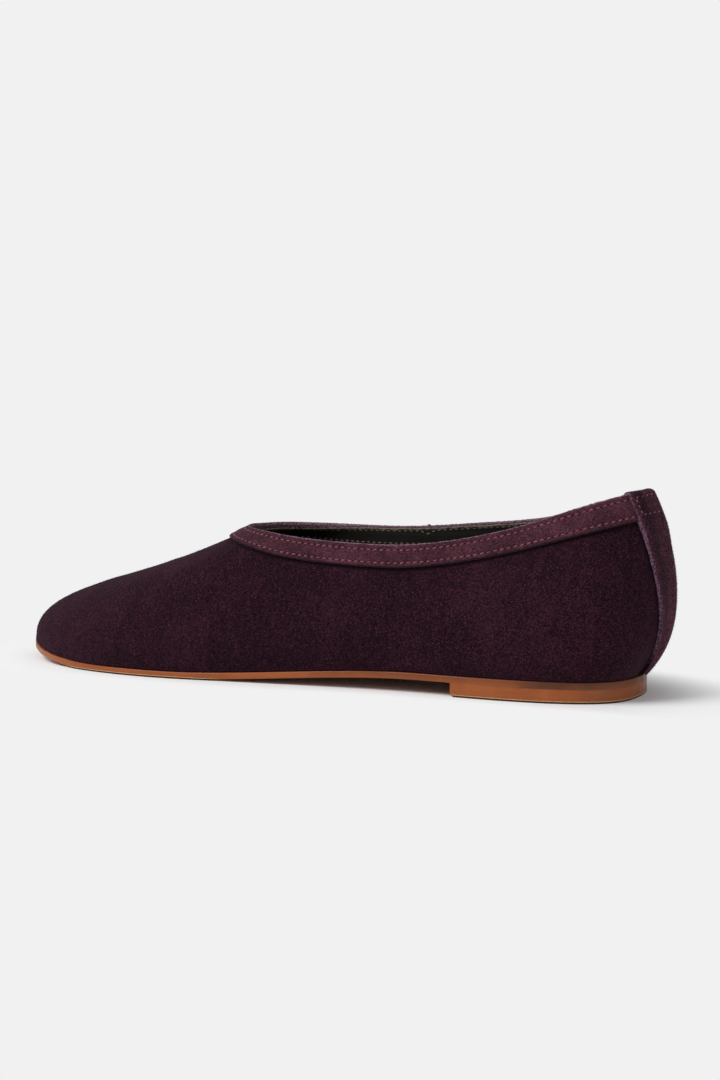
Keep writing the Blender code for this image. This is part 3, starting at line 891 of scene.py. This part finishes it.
def make_stitch_tree():
    """Beads along a rail: every other point gets one, so stitches and needle holes take turns."""
    tree, given, out = new_group("stitch_row", "GeometryNodeTree", {
        "Geometry": "geometry", "Count": "count", "Turn": "count", "Length": "value", "Width": "value",
        "Height": "value", "Slant": "value", "Lift": "value", "Seed": "count", "Material": "material"},
        {"Geometry": "geometry"})
    points, outward = rail_points(tree, given, {"Count": given["Count"] * 2}, "COUNT")
    points = node(tree, "GeometryNodeSetPosition", {
        "Geometry": points, "Offset": scaled(outward, given["Lift"])})
    along = turned_to("X", {"Vector": node(tree, "GeometryNodeInputTangent")})
    upright = turned_to("Z", {"Rotation": along, "Vector": outward}, pivot_axis="X")
    angle = given["Slant"] + random_of(-0.09, 0.09, given["Seed"])
    slanted = node(tree, "FunctionNodeAxisAngleToRotation", {"Axis": (0, 0, 1), "Angle": angle})
    turned = node(tree, "FunctionNodeRotateRotation", {"Rotation": upright, "Rotate By": slanted},
                  rotation_space="LOCAL")
    bead = node(tree, "GeometryNodeMeshUVSphere", {"Segments": 8, "Rings": 6, "Radius": 0.5}, "Mesh")
    size = node(tree, "ShaderNodeCombineXYZ", {
        0: given["Length"], 1: given["Width"], 2: given["Height"]})
    size = scaled(size, random_of(0.86, 1.08, given["Seed"]))
    turn = calc("MODULO", node(tree, "GeometryNodeInputIndex"), 2)
    chosen = calc("COMPARE", turn, given["Turn"], 0.1)
    return place_instances(tree, given, out, points, bead, turned, size, Selection=chosen)


FIBRE_INPUTS = {"Length": "value", "Thickness": "value", "Spread": "value", "Seed": "count",
                "Material": "material"}


def fibres(tree, given, out, points, direction):
    """Thin tapered fibres on points, along a direction with some spread."""
    stray = node(tree, "FunctionNodeRandomValue", {0: (-1, -1, -1), 1: (1, 1, 1), 8: given["Seed"]},
                 data_type="FLOAT_VECTOR")
    way = summed(direction, scaled(stray, given["Spread"]))
    fibre = node(tree, "GeometryNodeMeshCone", {"Vertices": 3, "Radius Top": 0.0, "Radius Bottom": 0.5,
                                                "Depth": 1}, "Mesh", fill_type="NONE")
    length = given["Length"] * random_of(0.35, 1.0, given["Seed"])
    size = node(tree, "ShaderNodeCombineXYZ", {0: given["Thickness"], 1: given["Thickness"], 2: length})
    turned = turned_to("Z", {"Vector": way})
    return place_instances(tree, given, out, points, fibre, turned, size)


def make_edge_fuzz_tree():
    """Loose fibres along a raw edge."""
    tree, given, out = new_group("edge_fuzz", "GeometryNodeTree", {
        "Geometry": "geometry", "Spacing": "value"} | FIBRE_INPUTS, {"Geometry": "geometry"})
    points, outward = rail_points(tree, given, {"Length": given["Spacing"]}, "LENGTH")
    return fibres(tree, given, out, points, outward)


def make_nap_tree():
    """Short fibres all over a face, brushed one way."""
    tree, given, out = new_group("nap_on_face", "GeometryNodeTree", {
        "Geometry": "geometry", "Density": "value", "Lay": "vector"} | FIBRE_INPUTS,
        {"Geometry": "geometry"})
    spots = tree.nodes.new("GeometryNodeDistributePointsOnFaces")
    spots.distribute_method = "RANDOM"
    plug(tree, spots, {"Mesh": given["Geometry"], "Density": given["Density"], "Seed": given["Seed"]})
    way = summed(Value(tree, spots.outputs["Normal"]), given["Lay"])
    return fibres(tree, given, out, spots.outputs["Points"], way)


STITCH_ROW = make_stitch_tree()
EDGE_FUZZ = make_edge_fuzz_tree()
NAP_ON_FACE = make_nap_tree()


def grown(name, start, tree, inputs):
    """Runs a tree on a mesh and keeps the result as a plain mesh."""
    piece = bpy.data.objects.new(name, start)
    bpy.context.collection.objects.link(piece)
    modifier = piece.modifiers.new("grow", "NODES")
    modifier.node_group = tree
    for socket in tree.interface.items_tree:
        if socket.in_out == "INPUT" and socket.name in inputs:
            modifier[socket.identifier] = inputs[socket.name]
    graph = bpy.context.evaluated_depsgraph_get()
    mesh = bpy.data.meshes.new_from_object(piece.evaluated_get(graph))
    piece.modifiers.clear()
    piece.data = mesh
    return piece


def rail(points, outward, closed=False):
    """A line of edges with the direction that faces out at each point."""
    mesh = bpy.data.meshes.new("rail")
    mesh.from_pydata([tuple(point) for point in points], spans(len(points), closed), [])
    attribute = mesh.attributes.new("outward", "FLOAT_VECTOR", "POINT")
    attribute.data.foreach_set("vector", np.asarray(outward, dtype=np.float32).ravel())
    return mesh


def wears(piece, slot_name, *nodes):
    """The piece rides on the shoe and stands for the nodes; slot_name is not used."""
    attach(piece, "root")
    if nodes:
        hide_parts(*nodes)


def groove(distance, row):
    """Depth that the thread pulls at a distance from its row."""
    return ROW_SINK * bell(distance, row, ROW_GROOVE)


def upper_columns():
    """Stations of the upper: dense beside the back strip, even elsewhere."""
    half_top = STRIP_TOP_WIDTH / 2
    near = half_top + np.array(UPPER_STATIONS) * MM
    under = np.linspace(0, half_top - UNDER_STRIP, 4)
    start = half_top + BESIDE_STRIP
    free = np.linspace(start, LAST.period - start, round((LAST.period - 2 * start) / RING_STEP))
    return np.concatenate([under, near, free, LAST.period - near[::-1], LAST.period - under[:0:-1]])


def make_upper():
    """Suede from the sole to the topline, turned in at its foot, with painted shade in lines beside the band
    and the strip that lie on it.
    """
    u = upper_columns()
    v_top = LAST.below_top(u, EDGE_ROUND + EDGE_DOME + ripple("topline", u))
    width = LAST.band_width(u)
    seam = LAST.rows_below_top(u, [width + gap * MM for gap in UPPER_GAPS])
    covered = LAST.rows_below_top(u, [width * share for share in np.linspace(0.97, 0.12, 8)])
    free = (LAST.below_top(u, width + FREE_BELOW)[:, None]
            * np.linspace(0, 1, WALL_STEPS)[None, :] ** 0.95)
    v = np.hstack([free, seam, covered, v_top[:, None]])
    steps = v.shape[1]
    across = beside_strip(u, v)
    smooth = LAST.surface(across, v)
    height = smooth[:, :, 2] - seat(smooth[:, :, 0])
    lift = ripple("foot", u)[:, None] * bell(height, 0, 5 * MM)
    outside = LAST.shell(across, v, lift)
    inside = LAST.shell(across, v, -SUEDE_LAYER)
    top = cut_edge(outside[:, -1], inside[:, -1], unit(outside[:, -1] - outside[:, -3]))
    inward = LAST.inward(across[:, 0])
    foot = outside[:, 0]
    foot_dip = ripple("feather", u).clip(*FEATHER_LIMITS)
    under = foot + inward * TUCK
    under[:, 2] = seat(under[:, 0]) - 0.1 * MM
    turn = [under]
    for angle in np.radians(TURN_ANGLES):
        spot = foot + inward * CLEARANCE * 1.5 * (1 - math.cos(angle))
        spot[:, 2] = foot[:, 2] - (CLEARANCE + foot_dip) * math.sin(angle)
        turn.append(spot)
    loops = np.concatenate([outside, top, inside[:, ::-1], np.stack(turn, axis=1)], axis=1)
    cut = np.zeros(loops.shape[:2])
    cut[:, steps - 1:steps + EDGE_POINTS + 1] = 1
    walked = np.cumsum(np.linalg.norm(np.diff(smooth[:, ::-1], axis=1), axis=2), axis=1)
    below_band = np.hstack([np.zeros((len(u), 1)), walked])[:, ::-1] - width[:, None]
    from_strip = np.abs(from_back(across)) - half_strip(v)
    # Painted shade: dark lines along the band's foot and beside the strip's edges.
    dark = np.zeros(loops.shape[:2])
    dark[:, :steps] = np.maximum(bell(below_band, SHADE_PLACE, BAND_SHADE),
                                 bell(from_strip, SHADE_PLACE, STRIP_SHADE))
    return tube("upper_suede", loops, True, UPPER, cut, dark)


def make_lining():
    """Leather lining, whose edge stays a little under the suede's."""
    drop = LINING_DROP + EDGE_ROUND + ripple("lining", RING)
    v = LAST.below_top(RING, drop)[:, None] * np.linspace(0, 1, WALL_STEPS)[None, :]
    wall = LAST.surface(RING, v)
    from_top = (1 - v) * np.linalg.norm(wall[:, 0] - wall[:, -1], axis=1)[:, None]
    pulled = -WALL + groove(from_top, ROW_FROM_TOP - LINING_ROW_RISE)
    return layer("upper_lining", RING, v, -SUEDE_LAYER - 0.05 * MM, pulled, LINING)


def band_profile(from_top, width):
    """Lift of the band's face: full between the rows, pulled in along them, soft at both edges."""
    puff = BAND_PUFF * np.sin(np.pi * np.clip(from_top / width, 0, 1))
    return BAND_LIFT + puff - groove(from_top, ROW_FROM_TOP) - groove(from_top, width - ROW_FROM_FOOT)


def make_band():
    """Facing strip round the topline, from one edge of the back strip to the other."""
    u = LAST.between_strip(0.12 * MM, step=BAND_STEP)
    width = LAST.band_width(u) - BAND_TRIM + ripple("band_foot", u)
    top = EDGE_ROUND + EDGE_DOME - 0.15 * MM + ripple("band_top", u)
    distance = width[:, None] + (top - width)[:, None] * np.linspace(0, 1, BAND_ROWS)[None, :]
    v = LAST.rows_below_top(u, distance.T)
    lift = band_profile(distance, LAST.band_width(u)[:, None])
    return layer("topline_band_suede", beside_strip(u, v), v, lift, -0.25 * MM, BAND, closed=False)


def strip_reach(v):
    """Half the width of the suede strip, which flares over the ends of the band."""
    return half_strip(v) + STRIP_FLARE * begun(v, FLARE_RANGE)


def strip_raise(v):
    """How far the ends of the band under it raise the strip."""
    return STRIP_RAISE * begun(v, RAISE_RANGE)


def corner_rise(share):
    """How far the fold stands over the topline, from its inner corner at -1 to its outer one at 1."""
    return STRIP_STIFF * np.clip(0.35 + 0.65 * share, 0, 1)


def strip_lift(u, half, v):
    """Lift of the back strip's face: thin at its edges, a soft ridge along the middle."""
    ridge = STRIP_RIDGE * bell(u, 0, RIDGE_WIDTH) + RIDGE_BASE
    hollow = HOLLOW_DEPTH * bell(np.abs(u), HOLLOW_PLACE * half, HOLLOW_WIDTH * half)
    lip = LIP_HEIGHT * bell(np.abs(u), half - LIP_WIDTH, LIP_WIDTH)
    return STRIP_LIFT + ridge - hollow + lip + strip_raise(v)


def make_strip():
    """Strip over the back seam, from the sole up and folded over the topline into the shoe."""
    across = np.linspace(-1, 1, STRIP_COLUMNS)
    reach = (STRIP_LIFT + WALL + FOLD_INSIDE) / 2
    middle = STRIP_LIFT - reach
    fold_start, fold_end = (float(LAST.below_top(np.zeros(1), down)[0])
                            for down in (reach - FOLD_TOP, FOLD_LENGTH))
    shares = np.concatenate([np.linspace(STRIP_START, fold_start, STRIP_ROWS),
                             np.full(BEND_ROWS, fold_start),
                             np.linspace(fold_start, fold_end, DROP_ROWS)])
    angles = np.concatenate([np.zeros(STRIP_ROWS), np.radians(np.linspace(*BEND_ANGLES, BEND_ROWS)),
                             np.full(DROP_ROWS, math.pi)])
    path = np.arange(len(shares)) * STRIP_STEP
    outer_wave, inner_wave = (ripple(edge, path, STRIP_PATH) for edge in ("strip_outer", "strip_inner"))
    loops = []
    for n, (share, angle) in enumerate(zip(shares, angles)):
        half = strip_reach(share) + np.where(across > 0, outer_wave[n], inner_wave[n])
        u = across * half
        v = np.full((STRIP_COLUMNS, 1), share)
        rim = strip_lift(u, half, share) - STRIP_LIFT
        normal = LAST.normals(u, v)[:, 0]
        up = LAST.upward(u, v)
        stand = corner_rise(across) * begun(share, STAND_RANGE)
        base = LAST.shell(u, v, 0)[:, 0] + up * stand[:, None]

        def at(radius, extra):
            return (base + normal * (middle + (radius + extra) * math.cos(angle))[:, None]
                    + up * ((radius + 0.4 * extra) * math.sin(angle))[:, None])

        face = at(reach, rim * (0.25 + 0.75 * (1 + math.cos(angle)) / 2))
        back = at(reach - 0.9 * STRIP_LIFT, 0 * rim)
        near = face[-1] * 0.55 + back[-1] * 0.45
        far = face[0] * 0.55 + back[0] * 0.45
        loops.append(np.vstack([face, near, back[::-1], far]))
    loops = np.array(loops)
    climbed = np.clip(np.arange(len(shares)) / STRIP_ROWS, 0, 1)[:, None]
    # Near the sole the strip's edges lose their raw colour and take painted shade.
    clear_of_foot_shade = ease(climbed / 0.28)
    cut = np.zeros(loops.shape[:2])
    edges = STRIP_COLUMNS, STRIP_COLUMNS + 1, 2 * STRIP_COLUMNS, 2 * STRIP_COLUMNS + 1
    cut[:, edges] = clear_of_foot_shade
    cut[:, (0, STRIP_COLUMNS - 1)] = 0.85 * clear_of_foot_shade
    cut[:, (1, STRIP_COLUMNS - 2)] = 0.3 * ease((climbed - 0.7) / 0.15)
    # Painted shade: on the edges near the sole, in the hollows beside the ridge, over the whole face towards
    # the top, and on the end at the sole.
    dark = np.tile(1.1 * (1 - clear_of_foot_shade), (1, loops.shape[1]))
    hollow = (0.72 + 0.2 * climbed) * bell(np.abs(across), 0.68, 0.24)[None, :]
    face_painted_shade = np.maximum(hollow, 0.42 * ease((climbed - 0.5) / 0.3))
    dark[:, 1:STRIP_COLUMNS - 1] = face_painted_shade[:, 1:-1]
    dark[0, :] = 0.9
    return tube("back_strip_suede", loops, False, STRIP, cut, dark)


def sides(count):
    """Stations down the outer and the inner side, as many on each, from the back to the toe."""
    share = np.linspace(0, 1, count)
    return share * LAST.toe, LAST.period - share * (LAST.period - LAST.toe)


def sole_rows(u, bottom, top, low_round, high_round):
    """Edge of a plate: up the side, with both corners rounded."""
    plan = LAST.foot_edge(u, SOLE_MARGIN)
    low_round = np.broadcast_to(low_round, u.shape)
    low, high = [], []
    for angle in np.radians(SOLE_ANGLES):
        spot = plan - LAST.outward(u) * (low_round * (1 - math.sin(angle)))[:, None]
        low.append(np.column_stack([spot, bottom(spot[:, 0]) + low_round * (1 - math.cos(angle))]))
        spot = plan - LAST.outward(u) * high_round * (1 - math.cos(angle))
        high.append(np.column_stack([spot, top(spot[:, 0]) - high_round * (1 - math.sin(angle))]))
    half_way = np.column_stack([plan, (bottom(plan[:, 0]) + top(plan[:, 0])) / 2])
    return np.stack(low + [half_way] + high, axis=1)


def make_outsole():
    """Full-length leather sole, flush with the heel block under its rear."""
    grids = []
    for u in sides(SOLE_STATIONS):
        past_heel = LAST.foot_edge(u, SOLE_MARGIN)[:, 0] - BREAST
        low_round = TREAD_ROUND * ease((past_heel + 0.5 * MM) / (2 * MM)) + SLIGHT_ROUND
        grids.append(sole_rows(u, sole_bottom, seat, low_round, SOLE_ROUND))
    return plate("outsole_leather", *grids, lambda x, w: sole_bottom(x), lambda x, w: seat(x), TAN)


def heel_bottom(x):
    """Flat on the floor, rounded up to the breast."""
    over = np.clip((x - (BREAST - BREAST_ROUND)) / BREAST_ROUND, 0, 1)
    return BREAST_ROUND * (1 - np.sqrt(1 - over**2))


def make_heel():
    """Heel block with the sole's outline and a straight breast."""
    share = np.concatenate([np.linspace(0, 0.95, 60), np.linspace(0.955, 1, 14)])
    grids = []
    for start, way, length in ((0, 1, LAST.toe), (LAST.period, -1, LAST.period - LAST.toe)):
        walk = np.linspace(0, length, 4000)
        end = np.interp(BREAST, LAST.foot_edge(start + way * walk, SOLE_MARGIN)[:, 0], walk)
        grid = sole_rows(start + way * share * end, heel_bottom, sole_bottom, HEEL_ROUND,
                         SLIGHT_ROUND)
        grid[-1, :, 0] = BREAST
        grids.append(grid)
    return plate("heel_leather", *grids, lambda x, w: heel_bottom(x), lambda x, w: sole_bottom(x), TAN)


def make_insole():
    """Leather sock inside the upper, a little dished, with its edge against the lining."""
    grids = []
    for u in sides(INSOLE_STATIONS):
        wall = LAST.shell(u, np.tile(np.linspace(0, 0.5, 60), (len(u), 1)), -WALL)
        rows = []
        for rise, inset in ((0.1, 0.4), (0.5, 0.05), (0.85, 0.0), (0.97, 0.25), (1.0, 0.7)):
            level = wall[:, 0, 2] + INSOLE_THICKNESS * rise
            spot = np.array([[np.interp(one, column[:, 2], column[:, axis]) for axis in range(3)]
                             for one, column in zip(level, wall)])
            spot += LAST.inward(u) * (INSOLE_GAP + inset * MM)
            spot[:, 2] = seat(spot[:, 0]) + CLEARANCE + INSOLE_THICKNESS * rise
            rows.append(spot)
        grids.append(np.stack(rows, axis=1))

    def top(x, w):
        towards_heel = float(ease(1 - (x + HEEL_CENTRE) / SOLE_LENGTH))
        dish = DISH * math.sin(math.pi * w)**2 * (0.4 + 0.6 * towards_heel)
        return seat(x) + CLEARANCE + INSOLE_THICKNESS - dish

    return plate("insole_leather", *grids,
                 lambda x, w: seat(x) + CLEARANCE + 0.1 * INSOLE_THICKNESS, top, INSOLE)


def row_rail(distance, outside):
    """Rail of a row of stitches round the topline, on the band and the strip or on the lining."""
    u = np.linspace(0, LAST.period, RAIL_POINTS, endpoint=False)
    width = LAST.band_width(u)
    down = distance if distance > 0 else width + distance
    v = LAST.below_top(u, down)[:, None]
    lift = -WALL
    if outside:
        place = from_back(u)
        half = strip_reach(v[:, 0])
        over_strip = ease((half + 0.4 * MM - np.abs(place)) / (0.8 * MM))
        in_strip = strip_lift(place, half, v[:, 0]) - STRIP_ROW_SINK
        lift = band_profile(down, width) * (1 - over_strip) + in_strip * over_strip
    elif distance > 0:
        from_seam = np.abs(LAST.surface(u, v)[:, 0, 0] - SEAM_PLACE)
        dip = SEAM_DIP * np.clip(1 - from_seam / SEAM_REACH, 0, 1) * (u > LAST.toe)
        v = LAST.below_top(u, down + dip)[:, None]
        lift = -WALL + groove(dip, 0)
    points = LAST.shell(u, v, np.broadcast_to(lift, u.shape)[:, None])[:, 0]
    facing = 1 if outside else -1
    return rail(points, LAST.normals(u, v)[:, 0] * facing, closed=True)


def strip_row_rail(side):
    """Rail of the short row that joins both rows beside an edge of the back strip."""
    corner = np.full(1, STRIP_TOP_WIDTH / 2)
    ends = [float(LAST.below_top(corner, down)[0])
            for down in (ROW_FROM_TOP + STITCH_PITCH / 2, LAST.band_width(corner) - ROW_FROM_FOOT)]
    v = np.linspace(*ends, SHORT_RAIL_POINTS)[:, None]
    half = strip_reach(v[:, 0])
    u = half - STRIP_ROW_INSET
    lift = strip_lift(u, half, v[:, 0]) - STITCH_LIFT
    return rail(LAST.shell(side * u, v, lift[:, None])[:, 0], LAST.normals(side * u, v)[:, 0])


def sew(name, line, count, seed, turn, size, slant, lift, material, slot_name):
    """Stitches or needle holes along a rail."""
    length, width, height = size
    wears(grown(name, line, STITCH_ROW, {
        "Count": count, "Seed": seed, "Turn": turn, "Length": length, "Width": width, "Height": height,
        "Slant": slant, "Lift": lift, "Material": material}), slot_name)


def make_stitches():
    """Two rows round the outside in wine thread, their other side in brown on the lining."""
    rows = (("upper_row", ROW_FROM_TOP, True, 4),
            ("lower_row", -ROW_FROM_FOOT, True, 5),
            ("lining_upper_row", ROW_FROM_TOP - LINING_ROW_RISE, False, 6),
            ("lining_lower_row", -ROW_FROM_FOOT - 0.5 * LINING_ROW_RISE, False, 7))
    for name, distance, outside, seed in rows:
        line = row_rail(distance, outside)
        places = np.array([vertex.co for vertex in line.vertices])
        length = np.linalg.norm(np.roll(places, -1, axis=0) - places, axis=1).sum()
        count = round(float(length) / STITCH_PITCH)
        look = ((STITCH_SLANT, STITCH_LIFT, WINE_THREAD, "band_suede") if outside
                else (-STITCH_SLANT, STITCH_LIFT, BROWN_THREAD, "insole_leather"))
        sew("stitches_" + name, line, count, seed, 0, STITCH_SIZE, *look)
        if outside:
            sew("holes_" + name, line, count, seed, 1, HOLE_SIZE, 0.0, 0.0, HOLE, "band_suede")


def make_strip_stitches():
    """A few stitches down each side of the back strip, from the upper row to the lower one."""
    for name, side, seed in (("outer", 1, 14), ("inner", -1, 15)):
        line = strip_row_rail(side)
        for kind, turn, size, material in (("stitches", 0, SHORT_STITCH_SIZE, WINE_THREAD),
                                           ("holes", 1, HOLE_SIZE, HOLE)):
            sew(kind + "_strip_" + name, line, 3, seed, turn, size, STITCH_SLANT, 0.0, material,
                "strip_suede")


def make_thread_end():
    """Knotted end of the wine thread, on the inner side's topline over the join of the lining."""
    fine = np.linspace(LAST.toe, LAST.period, 2000)
    x = LAST.surface(fine, np.ones((2000, 1)))[:, 0, 0]
    u = np.interp(SEAM_PLACE, x[::-1], fine[::-1]) + np.array([-0.5, 0, 0.5]) * MM
    points = LAST.shell(u, np.ones((3, 1)), 0.4 * MM)[:, 0] + [0, 0, 0.35 * MM]
    line = rail(points, np.tile([0.0, 0.0, 1.0], (3, 1)))
    sew("thread_end", line, 1, 9, 0, KNOT_SIZE, 0.5, 0.0, WINE_THREAD, "band_suede")


def band_fuzz_rail(distance, lift, tilt):
    """Rail along an edge of the band: fibres point out of the surface and, by tilt, up or down."""
    u = LAST.between_strip(0, count=RAIL_POINTS)
    down = distance if distance >= 0 else LAST.band_width(u) + distance
    v = LAST.below_top(u, down)[:, None]
    u = beside_strip(u, v)
    out = LAST.normals(u, v)[:, 0] * (1 - abs(tilt)) + LAST.upward(u, v) * tilt
    return rail(LAST.shell(u, v, lift)[:, 0], out)


def strip_fuzz_rail(side, lift):
    """Rail up an edge of the back strip."""
    v = np.linspace(0.24, 1, 200)[None, :]
    u = side * strip_reach(v)
    out = LAST.normals(u, v)[0] * 0.5 + np.array([0, side * 0.6, 0])
    return rail(LAST.shell(u, v, lift + strip_raise(v))[0], out)


def fold_fuzz_rail():
    """Rail over the top of the strip's fold."""
    share = np.linspace(-1, 1, 80)
    u = share * strip_reach(1)
    v = np.ones((80, 1))
    points = LAST.shell(u, v, -0.2 * MM)[:, 0]
    points[:, 2] += FOLD_TOP + corner_rise(share) - 0.08 * MM
    return rail(points, LAST.normals(u, v)[:, 0] * 0.4 + [0, 0, 0.8])


def foot_fuzz_rail():
    """Rail along the feather line, where the nap hangs over the sole."""
    v = np.full((len(RING), 1), 0.012)
    out = LAST.normals(RING, v)[:, 0] * 0.8 + np.array([0, 0, -0.5])
    return rail(LAST.shell(RING, v, 0.05 * MM)[:, 0], out, closed=True)


def make_fuzz():
    """Loose fibres along the raw edges and the feather line."""
    edges = (("topline", band_fuzz_rail(0.12 * MM, BAND_LIFT * 0.6, 0.8), "band_suede", 41,
              LILAC_FIBRE, 0.6 * MM),
             ("topline_inner", band_fuzz_rail(0.2 * MM, -0.4 * MM, 0.9), "band_suede", 42,
              MAUVE_FIBRE, 0.5 * MM),
             ("band_foot", band_fuzz_rail(-0.05 * MM, BAND_LIFT * 0.75, -0.7), "band_suede", 43,
              NAP_FIBRE, 0.36 * MM),
             ("strip_outer", strip_fuzz_rail(1, STRIP_LIFT * 0.8), "strip_suede", 44,
              MAUVE_FIBRE, 0.55 * MM),
             ("strip_inner", strip_fuzz_rail(-1, STRIP_LIFT * 0.8), "strip_suede", 45,
              MAUVE_FIBRE, 0.55 * MM),
             ("fold", fold_fuzz_rail(), "strip_suede", 47, NAP_FIBRE, 0.6 * MM),
             ("feather", foot_fuzz_rail(), "suede", 46, NAP_FIBRE, 0.55 * MM))
    for name, line, slot_name, seed, material, length in edges:
        wears(grown("fibres_" + name, line, EDGE_FUZZ, FUZZ | {
            "Length": length, "Seed": seed, "Material": material}), slot_name)


def make_nap():
    """Short fibres that lie all over the suede of the upper, the band and the strip."""
    quarter = np.tile(np.linspace(0.02, 0.9, 40), (len(RING), 1))
    u = LAST.between_strip(0.5 * MM, count=360)
    width = LAST.band_width(u)[:, None]
    distance = width * np.linspace(0.92, 0.05, 12)[None, :]
    v = LAST.rows_below_top(u, distance.T)
    share = np.tile(np.linspace(STRIP_START, 0.985, 60), (13, 1))
    half = strip_reach(share)
    across = np.linspace(-0.97, 0.97, 13)[:, None] * half
    sheets = (
        ("upper", LAST.shell(RING, quarter, 0.03 * MM), True, 1.9, NAP_FIBRE, "suede", 51),
        ("band", LAST.shell(beside_strip(u, v), v, band_profile(distance, width)), False, 3.0,
         BAND_FIBRE, "band_suede", 52),
        ("strip", LAST.shell(across, share, strip_lift(across, half, share)), False, 4.0,
         BAND_FIBRE, "strip_suede", 53))
    for name, grid, closed, density, material, slot_name, seed in sheets:
        columns, rows = grid.shape[:2]
        mesh = bpy.data.meshes.new(name + "_sheet")
        mesh.from_pydata([tuple(point) for point in grid.reshape(-1, 3)], [],
                         [(i * rows + k, i * rows + k + 1, j * rows + k + 1, j * rows + k)
                          for i, j in spans(columns, closed) for k in range(rows - 1)])
        wears(grown("nap_" + name, mesh, NAP_ON_FACE, NAP_LOOK | {
            "Density": density / MM**2, "Seed": seed, "Material": material}), slot_name)


wears(make_upper(), "suede", "upper")
wears(make_lining(), "insole_leather", "upper")
wears(make_band(), "band_suede", "topline_band")
wears(make_strip(), "strip_suede", "back_strip")
wears(make_outsole(), "sole_leather", "outsole")
wears(make_heel(), "heel_leather", "heel")
wears(make_insole(), "insole_leather", "insole")
make_stitches()
make_strip_stitches()
make_thread_end()
make_fuzz()
make_nap()


# Camera, where the photo's camera stood to the shoe, and the studio.
PHOTO_HEIGHT = 1080
CAMERA_SPOT = (-146.0 * MM, 437.4 * MM, 74.7 * MM)
CAMERA_PITCH = 3.2
CAMERA_YAW = 26.6
FOCAL_PIXELS = 1400
SENSOR = 36.0
WHITE = (1, 1, 1, 1)
PALE = 0.8796                   # the backdrop's tone
FLOOR_GREY = 0.87
FLOOR_REACH = 12.0
SHADOW_CENTRE = 88 * MM         # middle of the ellipse that keeps the shoe's shadow
SHADOW_LENGTH = 150 * MM
SHADOW_WIDTH = 75 * MM
SHADOW_END = (0.78, 1.08)       # where it fades out, as shares of the ellipse
FRONT_FADE = (0.5 * MM, 12 * MM)
SOLE_WIDENS = (40 * MM, 120 * MM)
WORLD_LIGHT = 0.44


def make_camera():
    data = bpy.data.cameras.new("camera")
    data.sensor_width = SENSOR
    data.lens = FOCAL_PIXELS * SENSOR / PHOTO_HEIGHT
    data.clip_start = 0.01
    camera = bpy.data.objects.new("camera", data)
    camera.location = CAMERA_SPOT
    camera.rotation_euler = (math.radians(90 - CAMERA_PITCH), 0, math.radians(180 + CAMERA_YAW))
    bpy.context.collection.objects.link(camera)
    bpy.context.scene.camera = camera


def make_light(name, spot, target, size, power):
    """A soft round light that looks at a target."""
    data = bpy.data.lights.new(name, "AREA")
    data.shape = "DISK"
    data.size = size
    data.energy = power
    light = bpy.data.objects.new(name, data)
    light.location = spot
    way = np.array(target) - np.array(spot)
    flat = math.hypot(way[0], way[1])
    light.rotation_euler = (math.atan2(flat, -way[2]), 0, math.atan2(way[1], way[0]) - math.pi / 2)
    bpy.context.collection.objects.link(light)


def make_floor():
    """Pale floor that runs into the backdrop's tone far from the shoe."""
    material, tree, shader = finish_of("pale_floor", {
        "Base Color": (FLOOR_GREY, FLOOR_GREY, FLOOR_GREY, 1), "Roughness": 0.8,
        "Specular IOR Level": 0.1})
    place = place_of(tree)
    centred = summed(place, (-SHADOW_CENTRE, 0.0, 0.0))
    around = node(tree, "ShaderNodeVectorMath", {0: centred, 1: (1 / SHADOW_LENGTH, 1 / SHADOW_WIDTH, 1)},
                  operation="MULTIPLY")
    away = node(tree, "ShaderNodeVectorMath", {0: around}, "Value", operation="LENGTH")
    x, y, _ = axes(place)
    sole_edge = spread(x, *SOLE_WIDENS, HEEL_WIDTH / 2, BALL_WIDTH / 2)
    in_front = spread(y - sole_edge, *FRONT_FADE)
    far = calc("MAXIMUM", spread(away, *SHADOW_END), in_front)
    glow = node(tree, "ShaderNodeEmission", {"Color": WHITE, "Strength": PALE})
    mixed = node(tree, "ShaderNodeMixShader", {0: far, 1: shader.outputs[0], 2: glow})
    plug(tree, tree.nodes["Material Output"], {"Surface": mixed})
    mesh = bpy.data.meshes.new("floor")
    corners = ((-1, -1), (1, -1), (1, 1), (-1, 1))
    mesh.from_pydata([(x * FLOOR_REACH, y * FLOOR_REACH, 0) for x, y in corners], [], [(0, 1, 2, 3)])
    mesh.materials.append(material)
    floor = bpy.data.objects.new("floor", mesh)
    floor.location = (0, 0, -0.1 * MM)
    bpy.context.collection.objects.link(floor)


def make_world():
    """Even white light all round, and the backdrop's tone where the camera looks."""
    world = bpy.data.worlds.new("studio")
    bpy.context.scene.world = world
    world.use_nodes = True
    tree = world.node_tree
    tree.nodes.clear()
    path = node(tree, "ShaderNodeLightPath", output="Is Camera Ray")
    around = node(tree, "ShaderNodeBackground", {"Color": WHITE, "Strength": WORLD_LIGHT})
    seen = node(tree, "ShaderNodeBackground", {"Color": WHITE, "Strength": PALE})
    mixed = node(tree, "ShaderNodeMixShader", {0: path, 1: around, 2: seen})
    node(tree, "ShaderNodeOutputWorld", {0: mixed})


make_camera()
make_floor()
make_world()
make_light("key", (0.85, 0.95, 1.2), (0.05, 0, 0.03), 1.0, 25)
make_light("rear_fill", (-0.9, 0.45, 0.35), (-0.03, 0, 0.03), 0.8, 2.0)
bpy.context.scene.view_settings.view_transform = "Standard"
